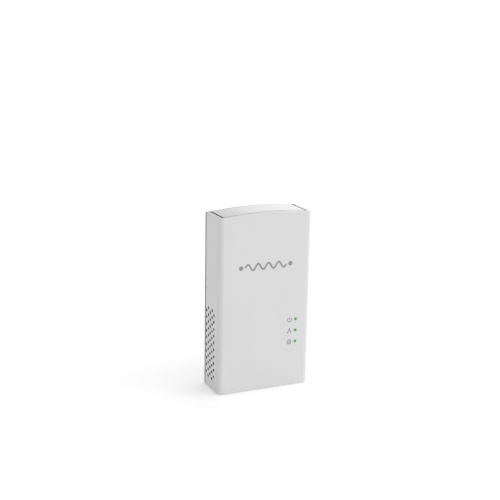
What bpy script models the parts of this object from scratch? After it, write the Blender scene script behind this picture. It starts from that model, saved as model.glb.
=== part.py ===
"""Powerline network adapter for a North American wall outlet.

Frame: the origin is the centre of the plug face, on the adapter's rear face.
+X is to the right seen from the front, +Y goes into the wall, +Z is up.
The rear face lies on y = 0, the blades stand out along +Y and the front is towards -Y.
Lengths are in metres.
"""
import math

import bmesh
import bpy
from mathutils import Matrix, Vector

MM = 0.001

# Casing: driving dimensions.
WIDTH = 55.4 * MM
DEPTH = 20.9 * MM
BOTTOM = -79.3 * MM            # underside, below the plug centre
CROWN = 22.55 * MM             # highest line of the arched top, at the rear face
TOP_RISE = 0.033               # the top climbs this much for each unit towards the front
ARCH_RADIUS = 220 * MM
CORNER = 3.0 * MM              # radius of the front cover's upright corners
FRONT_WALL = 1.8 * MM
SIDE_WALL = 2.4 * MM
PANEL_WALL = 1.8 * MM          # top panel
FLOOR_WALL = 2.0 * MM          # bottom panel
REAR_WALL = 2.0 * MM
RIM = 0.6 * MM                 # rear wall's edge, which covers the side walls' ends
RIM_GROOVE = 0.95 * MM         # shadow gap between that edge and the side walls
SIDE_GROOVE = 0.85 * MM        # shadow gap between a side wall and the top panel
SEAM = 0.65 * MM               # gap between the front wall and the top panel
GAP = 0.2 * MM                 # gap between pieces that touch
PAST = 1 * MM                  # how far a cutter reaches past what it cuts
INNER_CORNER = 0.8 * MM        # radius inside the front cover's upright corners

HALF = WIDTH / 2
FRONT = -DEPTH
INNER_FRONT = FRONT + FRONT_WALL
INNER_SIDE = HALF - SIDE_WALL
PANEL_HALF = INNER_SIDE - SIDE_GROOVE
FLOOR_TOP = BOTTOM + FLOOR_WALL
TOO_HIGH = CROWN + 8 * MM      # above everything, for stock that is cut down to the arch
FAR = 5 * MM                   # how far the tools for the arch reach past the casing

# Side vents: five upright rows of round holes, every second row half a pitch lower.
VENT_RADIUS = 0.9 * MM
VENT_ROWS = 5
VENT_ROW_PITCH = 2.6 * MM
VENT_FIRST_ROW = -3.1 * MM
VENT_PITCH = 4.03 * MM
VENT_MIDDLE = -52.9 * MM

# Indicators on the front.
LED_X = 19.05 * MM
LED_TOP = -40.2 * MM
LED_PITCH = 6.6 * MM
LED_HOLE_RADIUS = 0.75 * MM
LED_NAMES = ("power", "network", "socket")

# Plug: two flat blades and a round ground pin, as NEMA 5-15P.
BLADE_X = 6.35 * MM
BLADE_Z = 3.7 * MM
BLADE_HEIGHT = 6.35 * MM
BLADE_THICKNESS = 1.5 * MM
BLADE_REACH = 17.5 * MM
GROUND_Z = BLADE_Z - 11.9 * MM
GROUND_RADIUS = 2.4 * MM
GROUND_REACH = 20.8 * MM
TAIL_Y = -6.2 * MM             # inner ends of the blades and the pin
CARRIER_Z = -2.0 * MM
CARRIER_HALF_X = 12.2 * MM
CARRIER_HALF_Z = 12.2 * MM
CARRIER_FLANGE = 2.8 * MM      # how far the flange reaches past the opening
CARRIER_DEPTH = 5.0 * MM
CARRIER_CORNER = 3.0 * MM
BLADE_FIT = 0.15 * MM
BLADE_TAIL_HALF = 2.0 * MM
BLADE_SHOULDER = (2.0 * MM, BLADE_HEIGHT / 2)      # chamfered tip: distance from the end, half height
BLADE_NEAR_TIP = (0.5 * MM, 2.4 * MM)
BLADE_TIP_HALF = 1.7 * MM
DETENT_RADIUS = 1.6 * MM
DETENT_FROM_TIP = 5.0 * MM

# Leads from the plug to the power board: where each goes through the board, as (x, z).
LEAD_RADIUS = 0.6 * MM
LEAD_Y = -7.0 * MM
LEAD_STEPS = 7
LEAD_ENDS = {"line": (-10.0 * MM, 11.9 * MM), "neutral": (10.0 * MM, 11.9 * MM),
             "ground": (-1.6 * MM, -13.0 * MM)}

# Screws that hold the two covers together.
SCREW_X = 21.2 * MM
SCREW_ZS = (14.5 * MM, -71.5 * MM)
POST_RADIUS = 2.75 * MM
POST_END = -4.9 * MM
BOSS_RADIUS = 3.2 * MM
BOSS_END = -4.6 * MM
PILOT_RADIUS = 1.3 * MM
PILOT_END = -13.0 * MM
SHANK_RADIUS = 1.1 * MM
SHANK_END = -12.0 * MM
SHANK_POINT = 1.0 * MM
HEAD_RADIUS = 2.3 * MM
HEAD_EDGE = 0.3 * MM
HEAD_Y = (-2.1 * MM, -0.5 * MM)
RECESS_RADIUS = 2.7 * MM
RECESS_DEPTH = 2.3 * MM

# Boards, both parallel to the front.
POWER_BOARD_Y = (-9.2 * MM, -8.0 * MM)
POWER_BOARD_Z = (-33.0 * MM, 18.5 * MM)
POWER_BOARD_HALF = 23.5 * MM
LOGIC_BOARD_Y = (-16.4 * MM, -15.2 * MM)
LOGIC_BOARD_Z = (-75.4 * MM, -27.0 * MM)
LOGIC_BOARD_HALF = 23.8 * MM
POWER_TOP = POWER_BOARD_Y[0] - GAP      # parts on the power board start here, going to -Y
LOGIC_TOP = LOGIC_BOARD_Y[1] + GAP      # parts on the logic board start here, going to +Y
CHIP_LIFT = 0.1 * MM                    # a chip's body over its legs' feet

# Fuse, lying along X.
FUSE_X = (-15.0 * MM, -4.0 * MM)
FUSE_Z = 16.0 * MM
FUSE_RADIUS = 1.9 * MM
FUSE_CAP = (0.25 * MM, 0.4 * MM, 2.0 * MM)   # caps: over the radius, past the end, along the body

# Discs on the power board: span in x, centre y, centre z, radius, look.
DISCS = {
    "varistor": ((12.3 * MM, 15.7 * MM), -14.2 * MM, 12.2 * MM, 4.2 * MM, "disc_blue"),
    "y_capacitor": ((13.5 * MM, 16.3 * MM), -13.6 * MM, 2.0 * MM, 3.5 * MM, "film_yellow"),
}
DISC_EDGE = 0.5 * MM
DISC_LEG = 0.3 * MM
DISC_LEG_PLACE = 0.55                        # share of the radius, from the middle

# Film capacitor: spans in x and z, height.
FILM_X = (-19.5 * MM, -6.5 * MM)
FILM_Z = (3.5 * MM, 9.5 * MM)
FILM_HEIGHT = 8.4 * MM

# Legged chips on the power board: spans in x and z, height, legs a side.
POWER_CHIPS = {
    "bridge_rectifier": ((-19.5 * MM, -12.5 * MM), (-4.2 * MM, 2.0 * MM), 3.0 * MM, 2),
    "power_controller": ((-20.0 * MM, -13.5 * MM), (-27.9 * MM, -23.0 * MM), 2.0 * MM, 4),
}

# Wound cores: centre, half sizes, the winding's look.
CORES = {
    "choke": ((3.5 * MM, -13.4 * MM, 1.5 * MM), (6.5 * MM, 2.2 * MM, 5.5 * MM), "copper_wire"),
    "transformer": ((9.5 * MM, -13.6 * MM, -14.0 * MM), (8.0 * MM, 2.6 * MM, 7.0 * MM),
                    "winding_tape"),
}
CORE_LEG = 0.27                              # shares of the core's half sizes
CORE_WINDOW_X = 0.74
CORE_WINDOW_Z = 0.66

# Capacitors lying along Z: centre x, span in z, radius.
LYING_CANS = {
    "bulk_capacitor_1": (-16.8 * MM, (-20.5 * MM, -6.5 * MM), 4.0 * MM),
    "bulk_capacitor_2": (-7.9 * MM, (-20.5 * MM, -6.5 * MM), 4.0 * MM),
}

# Standing capacitors: centre x and z, radius, height.
STANDING_CANS = {
    "output_capacitor_1": (-6.5 * MM, -26.2 * MM, 3.15 * MM, 5.3 * MM),
    "output_capacitor_2": (1.0 * MM, -26.2 * MM, 3.15 * MM, 5.3 * MM),
}
CAN_EDGE = 0.3 * MM
CAN_CRIMP = 0.4 * MM                         # depth of the groove round the rubber bung

# Pin strip between the boards.
HEADER_X = 8.8 * MM
HEADER_Z = -30.0 * MM
HEADER_PINS = 5
HEADER_PITCH = 2.54 * MM
HEADER_HEIGHT = 2.5 * MM
HEADER_PIN = 0.64 * MM

# Insulating sheet inside the front wall.
SHEET_HALF = 17.8 * MM
SHEET_Y = (-18.7 * MM, -18.4 * MM)
SHEET_Z = (-25.5 * MM, 17.0 * MM)

# Parts on the logic board: spans in x and z, height, edge, legs a side.
LOGIC_CHIPS = {
    "powerline_chip": ((-19.0 * MM, -7.0 * MM), (-55.0 * MM, -43.0 * MM), 1.1 * MM, 0.25 * MM, 0),
    "memory_chip": ((11.5 * MM, 20.0 * MM), (-51.0 * MM, -39.5 * MM), 1.1 * MM, 0.25 * MM, 9),
    "ethernet_chip": ((0.5 * MM, 8.0 * MM), (-51.0 * MM, -43.5 * MM), 1.0 * MM, 0.25 * MM, 0),
    "ethernet_transformer": ((3.6 * MM, 14.4 * MM), (-61.4 * MM, -53.4 * MM), 4.2 * MM,
                             0.4 * MM, 6),
}
# Plain blocks there: spans in x and z, start and end over the board, look, edge.
LOGIC_BLOCKS = {
    "thermal_pad": ((-18.5 * MM, -7.5 * MM), (-54.5 * MM, -43.5 * MM), (1.3 * MM, 1.9 * MM),
                    "thermal_pad", 0.0),
    "crystal": ((1.0 * MM, 6.0 * MM), (-41.5 * MM, -38.3 * MM), (0.0, 1.2 * MM),
                "tinned_steel", 0.4 * MM),
    "coupling_transformer": ((-20.0 * MM, -10.5 * MM), (-38.0 * MM, -28.5 * MM),
                             (0.0, 5.0 * MM), "ferrite", 0.6 * MM),
}
SINK_X = (-22.0 * MM, -4.0 * MM)
SINK_Z = (-58.0 * MM, -40.0 * MM)
SINK_LIFT = 2.1 * MM
SINK_HEIGHT = 5.2 * MM
SINK_BASE = 1.2 * MM
SINK_FINS = 7
SINK_FIN = 1.1 * MM

# Lamps and the clear moulding in front of them.
LED_SIZE = (1.8 * MM, 0.7 * MM, 1.0 * MM)
LIGHT_BAR_HALF = 1.6 * MM
LIGHT_BAR_Y = (INNER_FRONT + 0.3 * MM, INNER_FRONT + 1.3 * MM)
LIGHT_BAR_PAST = 2.2 * MM                    # bar past the outer lamps
LIGHT_ARM_RADIUS = LED_HOLE_RADIUS - 0.12 * MM

# Ethernet jack, mouth down.
JACK_X = 9.0 * MM
JACK_WIDTH = 16.2 * MM
JACK_Y = (LOGIC_TOP, -3.7 * MM)
JACK_Z = (BOTTOM + 0.3 * MM, -63.0 * MM)
SHIELD_WALL = 0.3 * MM
CAVITY_HALF = 5.95 * MM
CAVITY_Y = (-13.7 * MM, -6.6 * MM)
CAVITY_END = -65.4 * MM
LATCH_HALF = 3.1 * MM
LATCH_Y = -5.2 * MM
CONTACT_COUNT = 8
CONTACT_PITCH = 1.02 * MM
CONTACT_RADIUS = 0.2 * MM
CONTACT_WALL = CAVITY_Y[0] + GAP + CONTACT_RADIUS
CONTACT_PATH = (                             # (distance from the wall, z)
    (0.0, CAVITY_END - GAP), (0.0, -76.2 * MM), (0.25 * MM, -76.8 * MM),
    (0.65 * MM, -76.4 * MM), (1.7 * MM, -69.5 * MM),
)

# Buttons on the bottom.
SWITCH_Y = -13.0 * MM
SWITCH_Z = (-74.4 * MM, -70.9 * MM)
PLUNGER_END = -75.9 * MM
SWITCH_HEIGHT = 3.6 * MM
PAIRING_X = -7.5 * MM
PAIRING_SWITCH_WIDTH = 6.0 * MM
RESET_X = -15.6 * MM
RESET_SWITCH_WIDTH = 4.2 * MM
PLUNGER_HALF = (1.1 * MM, 0.7 * MM)
PLUNGER_INSIDE = 0.5 * MM
POCKET_DEPTH = 1.5 * MM
FLANGE_GROW = 0.9 * MM
FLANGE_PLAY = 0.3 * MM
BUTTON_LENGTH = 8.0 * MM
BUTTON_WIDTH = 3.4 * MM
BUTTON_PROUD = 0.4 * MM
PINHOLE_RADIUS = 0.9 * MM
HOLE_ROOM = 0.3 * MM           # room round the jack and the button in the bottom panel

# Label recess on the rear face.
LABEL_X = (-20.0 * MM, 20.0 * MM)
LABEL_Z = (-62.0 * MM, -26.0 * MM)
LABEL_RECESS = 0.5 * MM
LABEL_CORNER = 1.5 * MM
LABEL_THICKNESS = 0.2 * MM

# Looks: colour, roughness, metallic.
LOOKS = {
    "white_gloss": ((0.80, 0.80, 0.80), 0.25, 0.0),
    "white_satin": ((0.78, 0.78, 0.78), 0.40, 0.0),
    "plug_plastic": ((0.72, 0.72, 0.71), 0.45, 0.0),
    "nickel": ((0.72, 0.70, 0.66), 0.22, 1.0),
    "gold": ((0.83, 0.62, 0.24), 0.25, 1.0),
    "tinned_steel": ((0.60, 0.61, 0.62), 0.35, 1.0),
    "screw_steel": ((0.40, 0.41, 0.43), 0.35, 1.0),
    "aluminium": ((0.70, 0.71, 0.72), 0.40, 1.0),
    "board_green": ((0.02, 0.16, 0.06), 0.45, 0.0),
    "black_plastic": ((0.02, 0.02, 0.02), 0.45, 0.0),
    "chip_black": ((0.03, 0.03, 0.035), 0.50, 0.0),
    "ferrite": ((0.07, 0.07, 0.075), 0.60, 0.0),
    "winding_tape": ((0.75, 0.58, 0.10), 0.45, 0.0),
    "copper_wire": ((0.70, 0.30, 0.12), 0.35, 1.0),
    "capacitor_sleeve": ((0.02, 0.03, 0.08), 0.35, 0.0),
    "film_yellow": ((0.80, 0.60, 0.10), 0.40, 0.0),
    "disc_blue": ((0.05, 0.18, 0.50), 0.45, 0.0),
    "fuse_brown": ((0.18, 0.08, 0.04), 0.40, 0.0),
    "lead_black": ((0.02, 0.02, 0.02), 0.50, 0.0),
    "lead_white": ((0.75, 0.75, 0.72), 0.50, 0.0),
    "lead_green": ((0.02, 0.30, 0.08), 0.50, 0.0),
    "insulation": ((0.85, 0.84, 0.78), 0.50, 0.0),
    "thermal_pad": ((0.45, 0.55, 0.62), 0.70, 0.0),
    "led_green": ((0.35, 0.90, 0.40), 0.30, 0.0),
    "clear_plastic": ((0.70, 0.90, 0.72), 0.15, 0.0),
    "label_silver": ((0.62, 0.63, 0.64), 0.45, 0.0),
}

X, Y, Z = 0, 1, 2


def clear_scene():
    for old in list(bpy.data.objects):
        bpy.data.objects.remove(old, do_unlink=True)


def make_collection(name):
    group = bpy.data.collections.new(name)
    bpy.context.scene.collection.children.link(group)
    return group


def material(look):
    """The look's Principled material, made once."""
    made = bpy.data.materials.get(look)
    if made:
        return made
    colour, roughness, metallic = LOOKS[look]
    made = bpy.data.materials.new(look)
    made.use_nodes = True
    shader = made.node_tree.nodes["Principled BSDF"]
    shader.inputs["Base Color"].default_value = (*colour, 1.0)
    shader.inputs["Roughness"].default_value = roughness
    shader.inputs["Metallic"].default_value = metallic
    made.diffuse_color = (*colour, 1.0)
    return made


def add_object(name, mesh, look, matrix):
    """Link a mesh as a part, or as a cutter when it has no look."""
    piece = bpy.data.objects.new(name, mesh)
    piece.matrix_world = matrix
    if look is None:
        CUTTERS.objects.link(piece)
        piece.hide_render = True
        piece.display_type = "WIRE"
    else:
        PARTS.objects.link(piece)
        mesh.materials.append(material(look))
    return piece


def mesh_of(name, bm):
    mesh = bpy.data.meshes.new(name)
    bm.to_mesh(mesh)
    bm.free()
    return mesh


def bevel(piece, width, segments=1, angle=30):
    edge = piece.modifiers.new("edge", "BEVEL")
    edge.width = width
    edge.segments = segments
    edge.limit_method = "ANGLE"
    edge.angle_limit = math.radians(angle)


def box(name, x, y, z, look=None, edge=0.0):
    """An upright box between two corners, with its origin at its centre."""
    low = Vector((x[0], y[0], z[0]))
    high = Vector((x[1], y[1], z[1]))
    bm = bmesh.new()
    bmesh.ops.create_cube(bm, size=1.0)
    bmesh.ops.scale(bm, vec=high - low, verts=bm.verts)
    piece = add_object(name, mesh_of(name, bm), look, Matrix.Translation((low + high) / 2))
    if edge:
        bevel(piece, edge)
    return piece


def turn_to(axis):
    """The rotation that takes local Z to the axis, and keeps outlines in world order."""
    if axis == X:
        return Matrix(((0, 0, 1), (1, 0, 0), (0, 1, 0))).to_4x4()
    if axis == Y:
        return Matrix(((1, 0, 0), (0, 0, -1), (0, 1, 0))).to_4x4()
    return Matrix.Identity(4)


def along(axis, distance):
    step = [0.0, 0.0, 0.0]
    step[axis] = distance
    return Matrix.Translation(step)


def prism(name, outline, axis, span, look=None):
    """A closed outline in the two other axes, pushed along the axis over the span."""
    curve = bpy.data.curves.new(name, "CURVE")
    curve.dimensions = "2D"
    curve.fill_mode = "BOTH"
    curve.extrude = (span[1] - span[0]) / 2
    spline = curve.splines.new("POLY")
    spline.points.add(len(outline) - 1)
    for point, (u, v) in zip(spline.points, outline):
        point.co = (u, v, 0.0, 1.0)
    spline.use_cyclic_u = True
    return solid_from_curve(name, curve, look, along(axis, sum(span) / 2) @ turn_to(axis))


def solid_from_curve(name, curve, look, matrix):
    """Turn a curve into a welded mesh object."""
    holder = bpy.data.objects.new(name + "_curve", curve)
    bpy.context.scene.collection.objects.link(holder)
    graph = bpy.context.evaluated_depsgraph_get()
    mesh = bpy.data.meshes.new_from_object(holder.evaluated_get(graph))
    bpy.data.objects.remove(holder, do_unlink=True)
    mesh.name = name
    bm = bmesh.new()
    bm.from_mesh(mesh)
    bmesh.ops.remove_doubles(bm, verts=bm.verts, dist=0.00001)
    bmesh.ops.recalc_face_normals(bm, faces=bm.faces)
    bm.to_mesh(mesh)
    bm.free()
    mesh.materials.clear()
    mesh.shade_flat()
    return add_object(name, mesh, look, matrix)


def rod(name, centre, axis, span, radius, look=None, sides=16):
    """A round bar along an axis. The centre gives its place in the two other axes."""
    bm = bmesh.new()
    bmesh.ops.create_cone(bm, cap_ends=True, segments=sides, radius1=radius, radius2=radius,
                          depth=span[1] - span[0])
    place = list(centre)
    place[axis] = sum(span) / 2
    piece = add_object(name, mesh_of(name, bm), look, Matrix.Translation(place) @ turn_to(axis))
    if look:
        piece.data.shade_smooth()
        piece.data.set_sharp_from_angle(angle=math.radians(40))
    return piece


def turned(name, profile, centre, axis, look, steps=20):
    """A profile of (radius, place along the axis) points, spun round the axis.

    On Z it is listed from high to low, and on Y from low to high.
    """
    bm = bmesh.new()
    sign = -1 if axis == Y else 1
    corners = [bm.verts.new((radius, 0.0, sign * place)) for radius, place in profile]
    for start, end in zip(corners, corners[1:]):
        bm.edges.new((start, end))
    piece = add_object(name, mesh_of(name, bm), look, Matrix.Translation(centre) @ turn_to(axis))
    spin = piece.modifiers.new("spin", "SCREW")
    spin.steps = steps
    spin.render_steps = steps
    spin.use_merge_vertices = True
    spin.merge_threshold = 0.00001
    return piece


def wire(name, points, radius, look, resolution=1):
    """A round wire through points, with closed ends."""
    curve = bpy.data.curves.new(name, "CURVE")
    curve.dimensions = "3D"
    curve.bevel_depth = radius
    curve.bevel_resolution = resolution
    curve.use_fill_caps = True
    spline = curve.splines.new("POLY")
    spline.points.add(len(points) - 1)
    for point, place in zip(spline.points, points):
        point.co = (*place, 1.0)
    piece = solid_from_curve(name, curve, look, Matrix.Identity(4))
    piece.data.shade_smooth()
    return piece


def boolean(target, tool, operation):
    step = target.modifiers.new(tool.name, "BOOLEAN")
    step.operation = operation
    step.object = tool
    step.solver = "EXACT"


def cut(target, *tools):
    for tool in tools:
        boolean(target, tool, "DIFFERENCE")


def join(target, *tools):
    for tool in tools:
        boolean(target, tool, "UNION")


def merged(name, tools):
    """Several closed cutters that don't touch, as one cutter."""
    bm = bmesh.new()
    for tool in tools:
        copy = tool.data.copy()
        copy.transform(tool.matrix_world)
        bm.from_mesh(copy)
        bpy.data.meshes.remove(copy)
        bpy.data.objects.remove(tool, do_unlink=True)
    return add_object(name, mesh_of(name, bm), None, Matrix.Identity(4))


def arc(centre, radius, start, end, steps):
    """Points of an arc, from one angle to another in degrees."""
    points = []
    for step in range(steps + 1):
        angle = math.radians(start + (end - start) * step / steps)
        points.append((centre[0] + radius * math.cos(angle), centre[1] + radius * math.sin(angle)))
    return points


def rounded(u, v, radius, steps=3):
    """A rectangle with round corners."""
    corners = (((u[1] - radius, v[1] - radius), 0), ((u[0] + radius, v[1] - radius), 90),
               ((u[0] + radius, v[0] + radius), 180), ((u[1] - radius, v[0] + radius), 270))
    points = []
    for centre, start in corners:
        points += arc(centre, radius, start, start + 90, steps)
    return points


def around(middle, half):
    return (middle - half, middle + half)


# Casing.

def arch_line(drop, steps=16):
    """The top's arch at the rear face, lowered by drop, from left to right."""
    reach = math.degrees(math.asin((HALF + 2 * PAST) / ARCH_RADIUS))
    return arc((0.0, CROWN - drop - ARCH_RADIUS), ARCH_RADIUS, 90 + reach, 90 - reach, steps)


def lean():
    """Tilts a tool about the crown at the rear face, so that the top rises to the front."""
    pivot = Matrix.Translation((0.0, 0.0, CROWN))
    return pivot @ Matrix.Rotation(-math.atan(TOP_RISE), 4, "X") @ pivot.inverted()


def top_trimmer(name):
    """Cuts stock down to the arched, leaning top."""
    line = arch_line(0.0)
    outline = line + [(line[-1][0], TOO_HIGH + FAR), (line[0][0], TOO_HIGH + FAR)]
    tool = prism(name, outline, Y, (FRONT - FAR, FAR))
    tool.matrix_world = lean() @ tool.matrix_world
    return tool


def vent_places():
    """(y, z) of each vent hole on one side."""
    places = []
    for row in range(VENT_ROWS):
        count = 10 + row % 2
        for hole in range(count):
            places.append((VENT_FIRST_ROW - row * VENT_ROW_PITCH,
                           VENT_MIDDLE + (hole - (count - 1) / 2) * VENT_PITCH))
    return places


def screw_places():
    return [(side * SCREW_X, z) for z in SCREW_ZS for side in (-1, 1)]


def led_heights():
    return [LED_TOP - number * LED_PITCH for number in range(len(LED_NAMES))]


def front_cover():
    """The front and both side walls, bent in a U, with vents, lamp holes and screw posts."""
    end = -RIM - RIM_GROOVE
    inner = INNER_CORNER
    outline = [(-HALF, end)]
    outline += arc((-HALF + CORNER, FRONT + CORNER), CORNER, 180, 270, 6)
    outline += arc((HALF - CORNER, FRONT + CORNER), CORNER, 270, 360, 6)
    outline += [(HALF, end), (INNER_SIDE, end)]
    outline += arc((INNER_SIDE - inner, INNER_FRONT + inner), inner, 360, 270, 2)
    outline += arc((-INNER_SIDE + inner, INNER_FRONT + inner), inner, 270, 180, 2)
    outline += [(-INNER_SIDE, end)]
    cover = prism("front_cover", outline, Z, (BOTTOM, TOO_HIGH), "white_gloss")
    for number, (x, z) in enumerate(screw_places()):
        middle = (x, 0.0, z)
        post = rod(f"post_{number}", middle, Y, (FRONT + FRONT_WALL / 2, POST_END), POST_RADIUS)
        join(cover, post)
    pilots = [rod(f"pilot_{number}", (x, 0.0, z), Y, (PILOT_END, POST_END + PAST), PILOT_RADIUS)
              for number, (x, z) in enumerate(screw_places())]
    lamps = [rod(f"lamp_{number}", (LED_X, 0.0, z), Y, (FRONT - PAST, INNER_FRONT + PAST),
                 LED_HOLE_RADIUS, sides=12) for number, z in enumerate(led_heights())]
    vents = []
    for side in (-1, 1):
        span = sorted((side * (INNER_SIDE - PAST), side * (HALF + PAST)))
        vents += [rod("vent", (0.0, y, z), X, span, VENT_RADIUS, sides=6)
                  for y, z in vent_places()]
    cut(cover, top_trimmer("front_trimmer"), merged("pilots", pilots), merged("lamps", lamps),
        merged("vents", vents))


def rear_cover():
    """The rear wall with the top and bottom panels, which slide between the side walls."""
    height = (BOTTOM, TOO_HIGH)
    cover = box("rear_cover", around(0.0, HALF), (-RIM, 0.0), height, "white_gloss")
    block = box("panel_block", around(0.0, PANEL_HALF), (INNER_FRONT + SEAM, -RIM / 2), height)
    line = arch_line(PANEL_WALL)
    hollow = prism("rear_hollow", line + [(line[-1][0], FLOOR_TOP), (line[0][0], FLOOR_TOP)], Y,
                   (FRONT - FAR, -REAR_WALL))
    opening = prism("plug_opening",
                    rounded(around(0.0, CARRIER_HALF_X + GAP),
                            around(CARRIER_Z, CARRIER_HALF_Z + GAP), CARRIER_CORNER),
                    Y, (-REAR_WALL - PAST, PAST))
    label = prism("label_recess", rounded(LABEL_X, LABEL_Z, LABEL_CORNER), Y,
                  (-LABEL_RECESS, PAST))
    join(cover, block)
    cut(cover, hollow, top_trimmer("rear_trimmer"), merged("rear_windows", [opening, label]))
    bosses = [rod(f"boss_{number}", (x, 0.0, z), Y, (BOSS_END, -REAR_WALL / 2), BOSS_RADIUS)
              for number, (x, z) in enumerate(screw_places())]
    join(cover, merged("bosses", bosses))
    through = (BOSS_END - PAST, PAST)
    clearances = [rod(f"clearance_{number}", (x, 0.0, z), Y, through, SHANK_RADIUS + 2 * GAP)
                  for number, (x, z) in enumerate(screw_places())]
    recesses = [rod(f"recess_{number}", (x, 0.0, z), Y, (-RECESS_DEPTH, PAST), RECESS_RADIUS)
                for number, (x, z) in enumerate(screw_places())]
    cut(cover, merged("clearances", clearances), merged("recesses", recesses),
        merged("bottom_holes", bottom_holes()))


def bottom_holes():
    """Holes in the bottom panel: the jack, the pairing button and the reset pinhole."""
    span = (BOTTOM - PAST, FLOOR_TOP + PAST)
    jack = box("jack_hole", around(JACK_X, JACK_WIDTH / 2 + HOLE_ROOM),
               (JACK_Y[0] - HOLE_ROOM, JACK_Y[1] + HOLE_ROOM), span)
    button = prism("button_hole", button_outline(HOLE_ROOM), Z, span)
    pinhole = rod("pinhole", (RESET_X, SWITCH_Y, 0.0), Z, span, PINHOLE_RADIUS, sides=16)
    return [jack, button, pinhole]


def cover_screws():
    """Self-tapping screws, put in from the rear."""
    head_low, head_high = HEAD_Y
    profile = [(0.0, SHANK_END), (SHANK_RADIUS, SHANK_END + SHANK_POINT),
               (SHANK_RADIUS, head_low), (HEAD_RADIUS, head_low),
               (HEAD_RADIUS, head_high - HEAD_EDGE), (HEAD_RADIUS - HEAD_EDGE, head_high),
               (0.0, head_high)]
    for number, (x, z) in enumerate(screw_places(), start=1):
        turned(f"cover_screw_{number}", profile, (x, 0.0, z), Y, "screw_steel", steps=16)


def rating_label():
    prism("rating_label",
          rounded((LABEL_X[0] + GAP, LABEL_X[1] - GAP), (LABEL_Z[0] + GAP, LABEL_Z[1] - GAP),
                  LABEL_CORNER - GAP),
          Y, (-LABEL_RECESS + GAP, -LABEL_RECESS + GAP + LABEL_THICKNESS),
          "label_silver")


# Plug.

def plug_carrier():
    """Moulded block that holds the blades and the pin, flush with the rear face."""
    half_x = CARRIER_HALF_X + CARRIER_FLANGE
    half_z = CARRIER_HALF_Z + CARRIER_FLANGE
    carrier = prism("plug_carrier",
                    rounded(around(0.0, half_x), around(CARRIER_Z, half_z), CARRIER_CORNER),
                    Y, (-CARRIER_DEPTH, -REAR_WALL - GAP), "plug_plastic")
    nose = prism("carrier_nose",
                 rounded(around(0.0, CARRIER_HALF_X), around(CARRIER_Z, CARRIER_HALF_Z),
                         CARRIER_CORNER - GAP),
                 Y, (-REAR_WALL - PAST, 0.0))
    join(carrier, nose)
    span = (-CARRIER_DEPTH - PAST, PAST)
    slots = [box(f"blade_slot_{side}", around(side * BLADE_X, BLADE_THICKNESS / 2 + BLADE_FIT),
                 span, around(BLADE_Z, BLADE_HEIGHT / 2 + BLADE_FIT)) for side in (-1, 1)]
    ground = rod("ground_hole", (0.0, 0.0, GROUND_Z), Y, span, GROUND_RADIUS + BLADE_FIT, sides=20)
    cut(carrier, merged("plug_holes", slots + [ground]))


def blade(name, x):
    """A flat blade with a narrower tail, a chamfered tip and a detent hole."""
    half = BLADE_HEIGHT / 2
    step = -CARRIER_DEPTH + GAP
    side = [(TAIL_Y, BLADE_TAIL_HALF), (step, BLADE_TAIL_HALF), (step, half),
            (BLADE_REACH - BLADE_SHOULDER[0], BLADE_SHOULDER[1]),
            (BLADE_REACH - BLADE_NEAR_TIP[0], BLADE_NEAR_TIP[1]), (BLADE_REACH, BLADE_TIP_HALF)]
    outline = [(y, BLADE_Z + z) for y, z in side] + [(y, BLADE_Z - z) for y, z in reversed(side)]
    piece = prism(name, outline, X, around(x, BLADE_THICKNESS / 2), "nickel")
    cut(piece, rod(name + "_detent", (x, BLADE_REACH - DETENT_FROM_TIP, BLADE_Z), X,
                   around(x, BLADE_THICKNESS), DETENT_RADIUS))


def ground_pin():
    """A round pin with a domed tip."""
    dome = arc((0.0, GROUND_REACH - GROUND_RADIUS), GROUND_RADIUS, 0, 90, 5)
    profile = [(0.0, TAIL_Y), (GROUND_RADIUS, TAIL_Y)] + dome[:-1] + [(0.0, GROUND_REACH)]
    turned("ground_pin", profile, (0.0, 0.0, GROUND_Z), Y, "nickel", steps=20)


def lead(name, start, look):
    """A short insulated wire from a tail, along the carrier and through the power board."""
    x0, z0 = start
    x1, z1 = LEAD_ENDS[name]
    points = []
    for step in range(LEAD_STEPS):
        part = step / LEAD_STEPS
        ease = part * part * (3 - 2 * part)
        points.append((x0 + (x1 - x0) * ease, LEAD_Y, z0 + (z1 - z0) * part))
    points += [(x1, LEAD_Y - LEAD_RADIUS / 2, z1), (x1, POWER_BOARD_Y[1], z1),
               (x1, POWER_BOARD_Y[0] - LEAD_RADIUS, z1)]
    wire(f"{name}_lead", points, LEAD_RADIUS, look)


def plug():
    plug_carrier()
    blade("line_blade", BLADE_X)
    blade("neutral_blade", -BLADE_X)
    ground_pin()
    lead("line", (-BLADE_X, BLADE_Z), "lead_black")
    lead("neutral", (BLADE_X, BLADE_Z), "lead_white")
    lead("ground", (0.0, GROUND_Z), "lead_green")


# Power board.

def board(name, half, y, z, post_z, holes):
    """A circuit board with notches round the screw posts."""
    piece = box(name, (-half, half), y, z, "board_green")
    span = (y[0] - PAST, y[1] + PAST)
    notches = [rod("notch", (side * SCREW_X, 0.0, post_z), Y, span, POST_RADIUS + 2 * GAP)
               for side in (-1, 1)]
    drilled = [rod("drilled", (x, 0.0, hole_z), Y, span, radius, sides=12)
               for x, hole_z, radius in holes]
    cut(piece, merged(name + "_cuts", notches + drilled))


def can_profile(top, foot, radius):
    """An electrolytic capacitor's side, from its closed top to its foot."""
    toward = 1 if foot > top else -1
    neck = radius - CAN_CRIMP
    return [(0.0, top), (radius - CAN_EDGE, top), (radius, top + toward * CAN_EDGE),
            (radius, foot - toward * 4 * CAN_CRIMP), (neck, foot - toward * 3.2 * CAN_CRIMP),
            (neck, foot - toward * 2.4 * CAN_CRIMP), (radius, foot - toward * 1.6 * CAN_CRIMP),
            (radius, foot), (0.0, foot)]


def can(name, x, z, radius, height):
    """An upright electrolytic capacitor, standing on the power board."""
    profile = can_profile(POWER_TOP - height, POWER_TOP, radius)
    turned(name, profile, (x, 0.0, z), Y, "capacitor_sleeve", steps=18)


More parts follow.
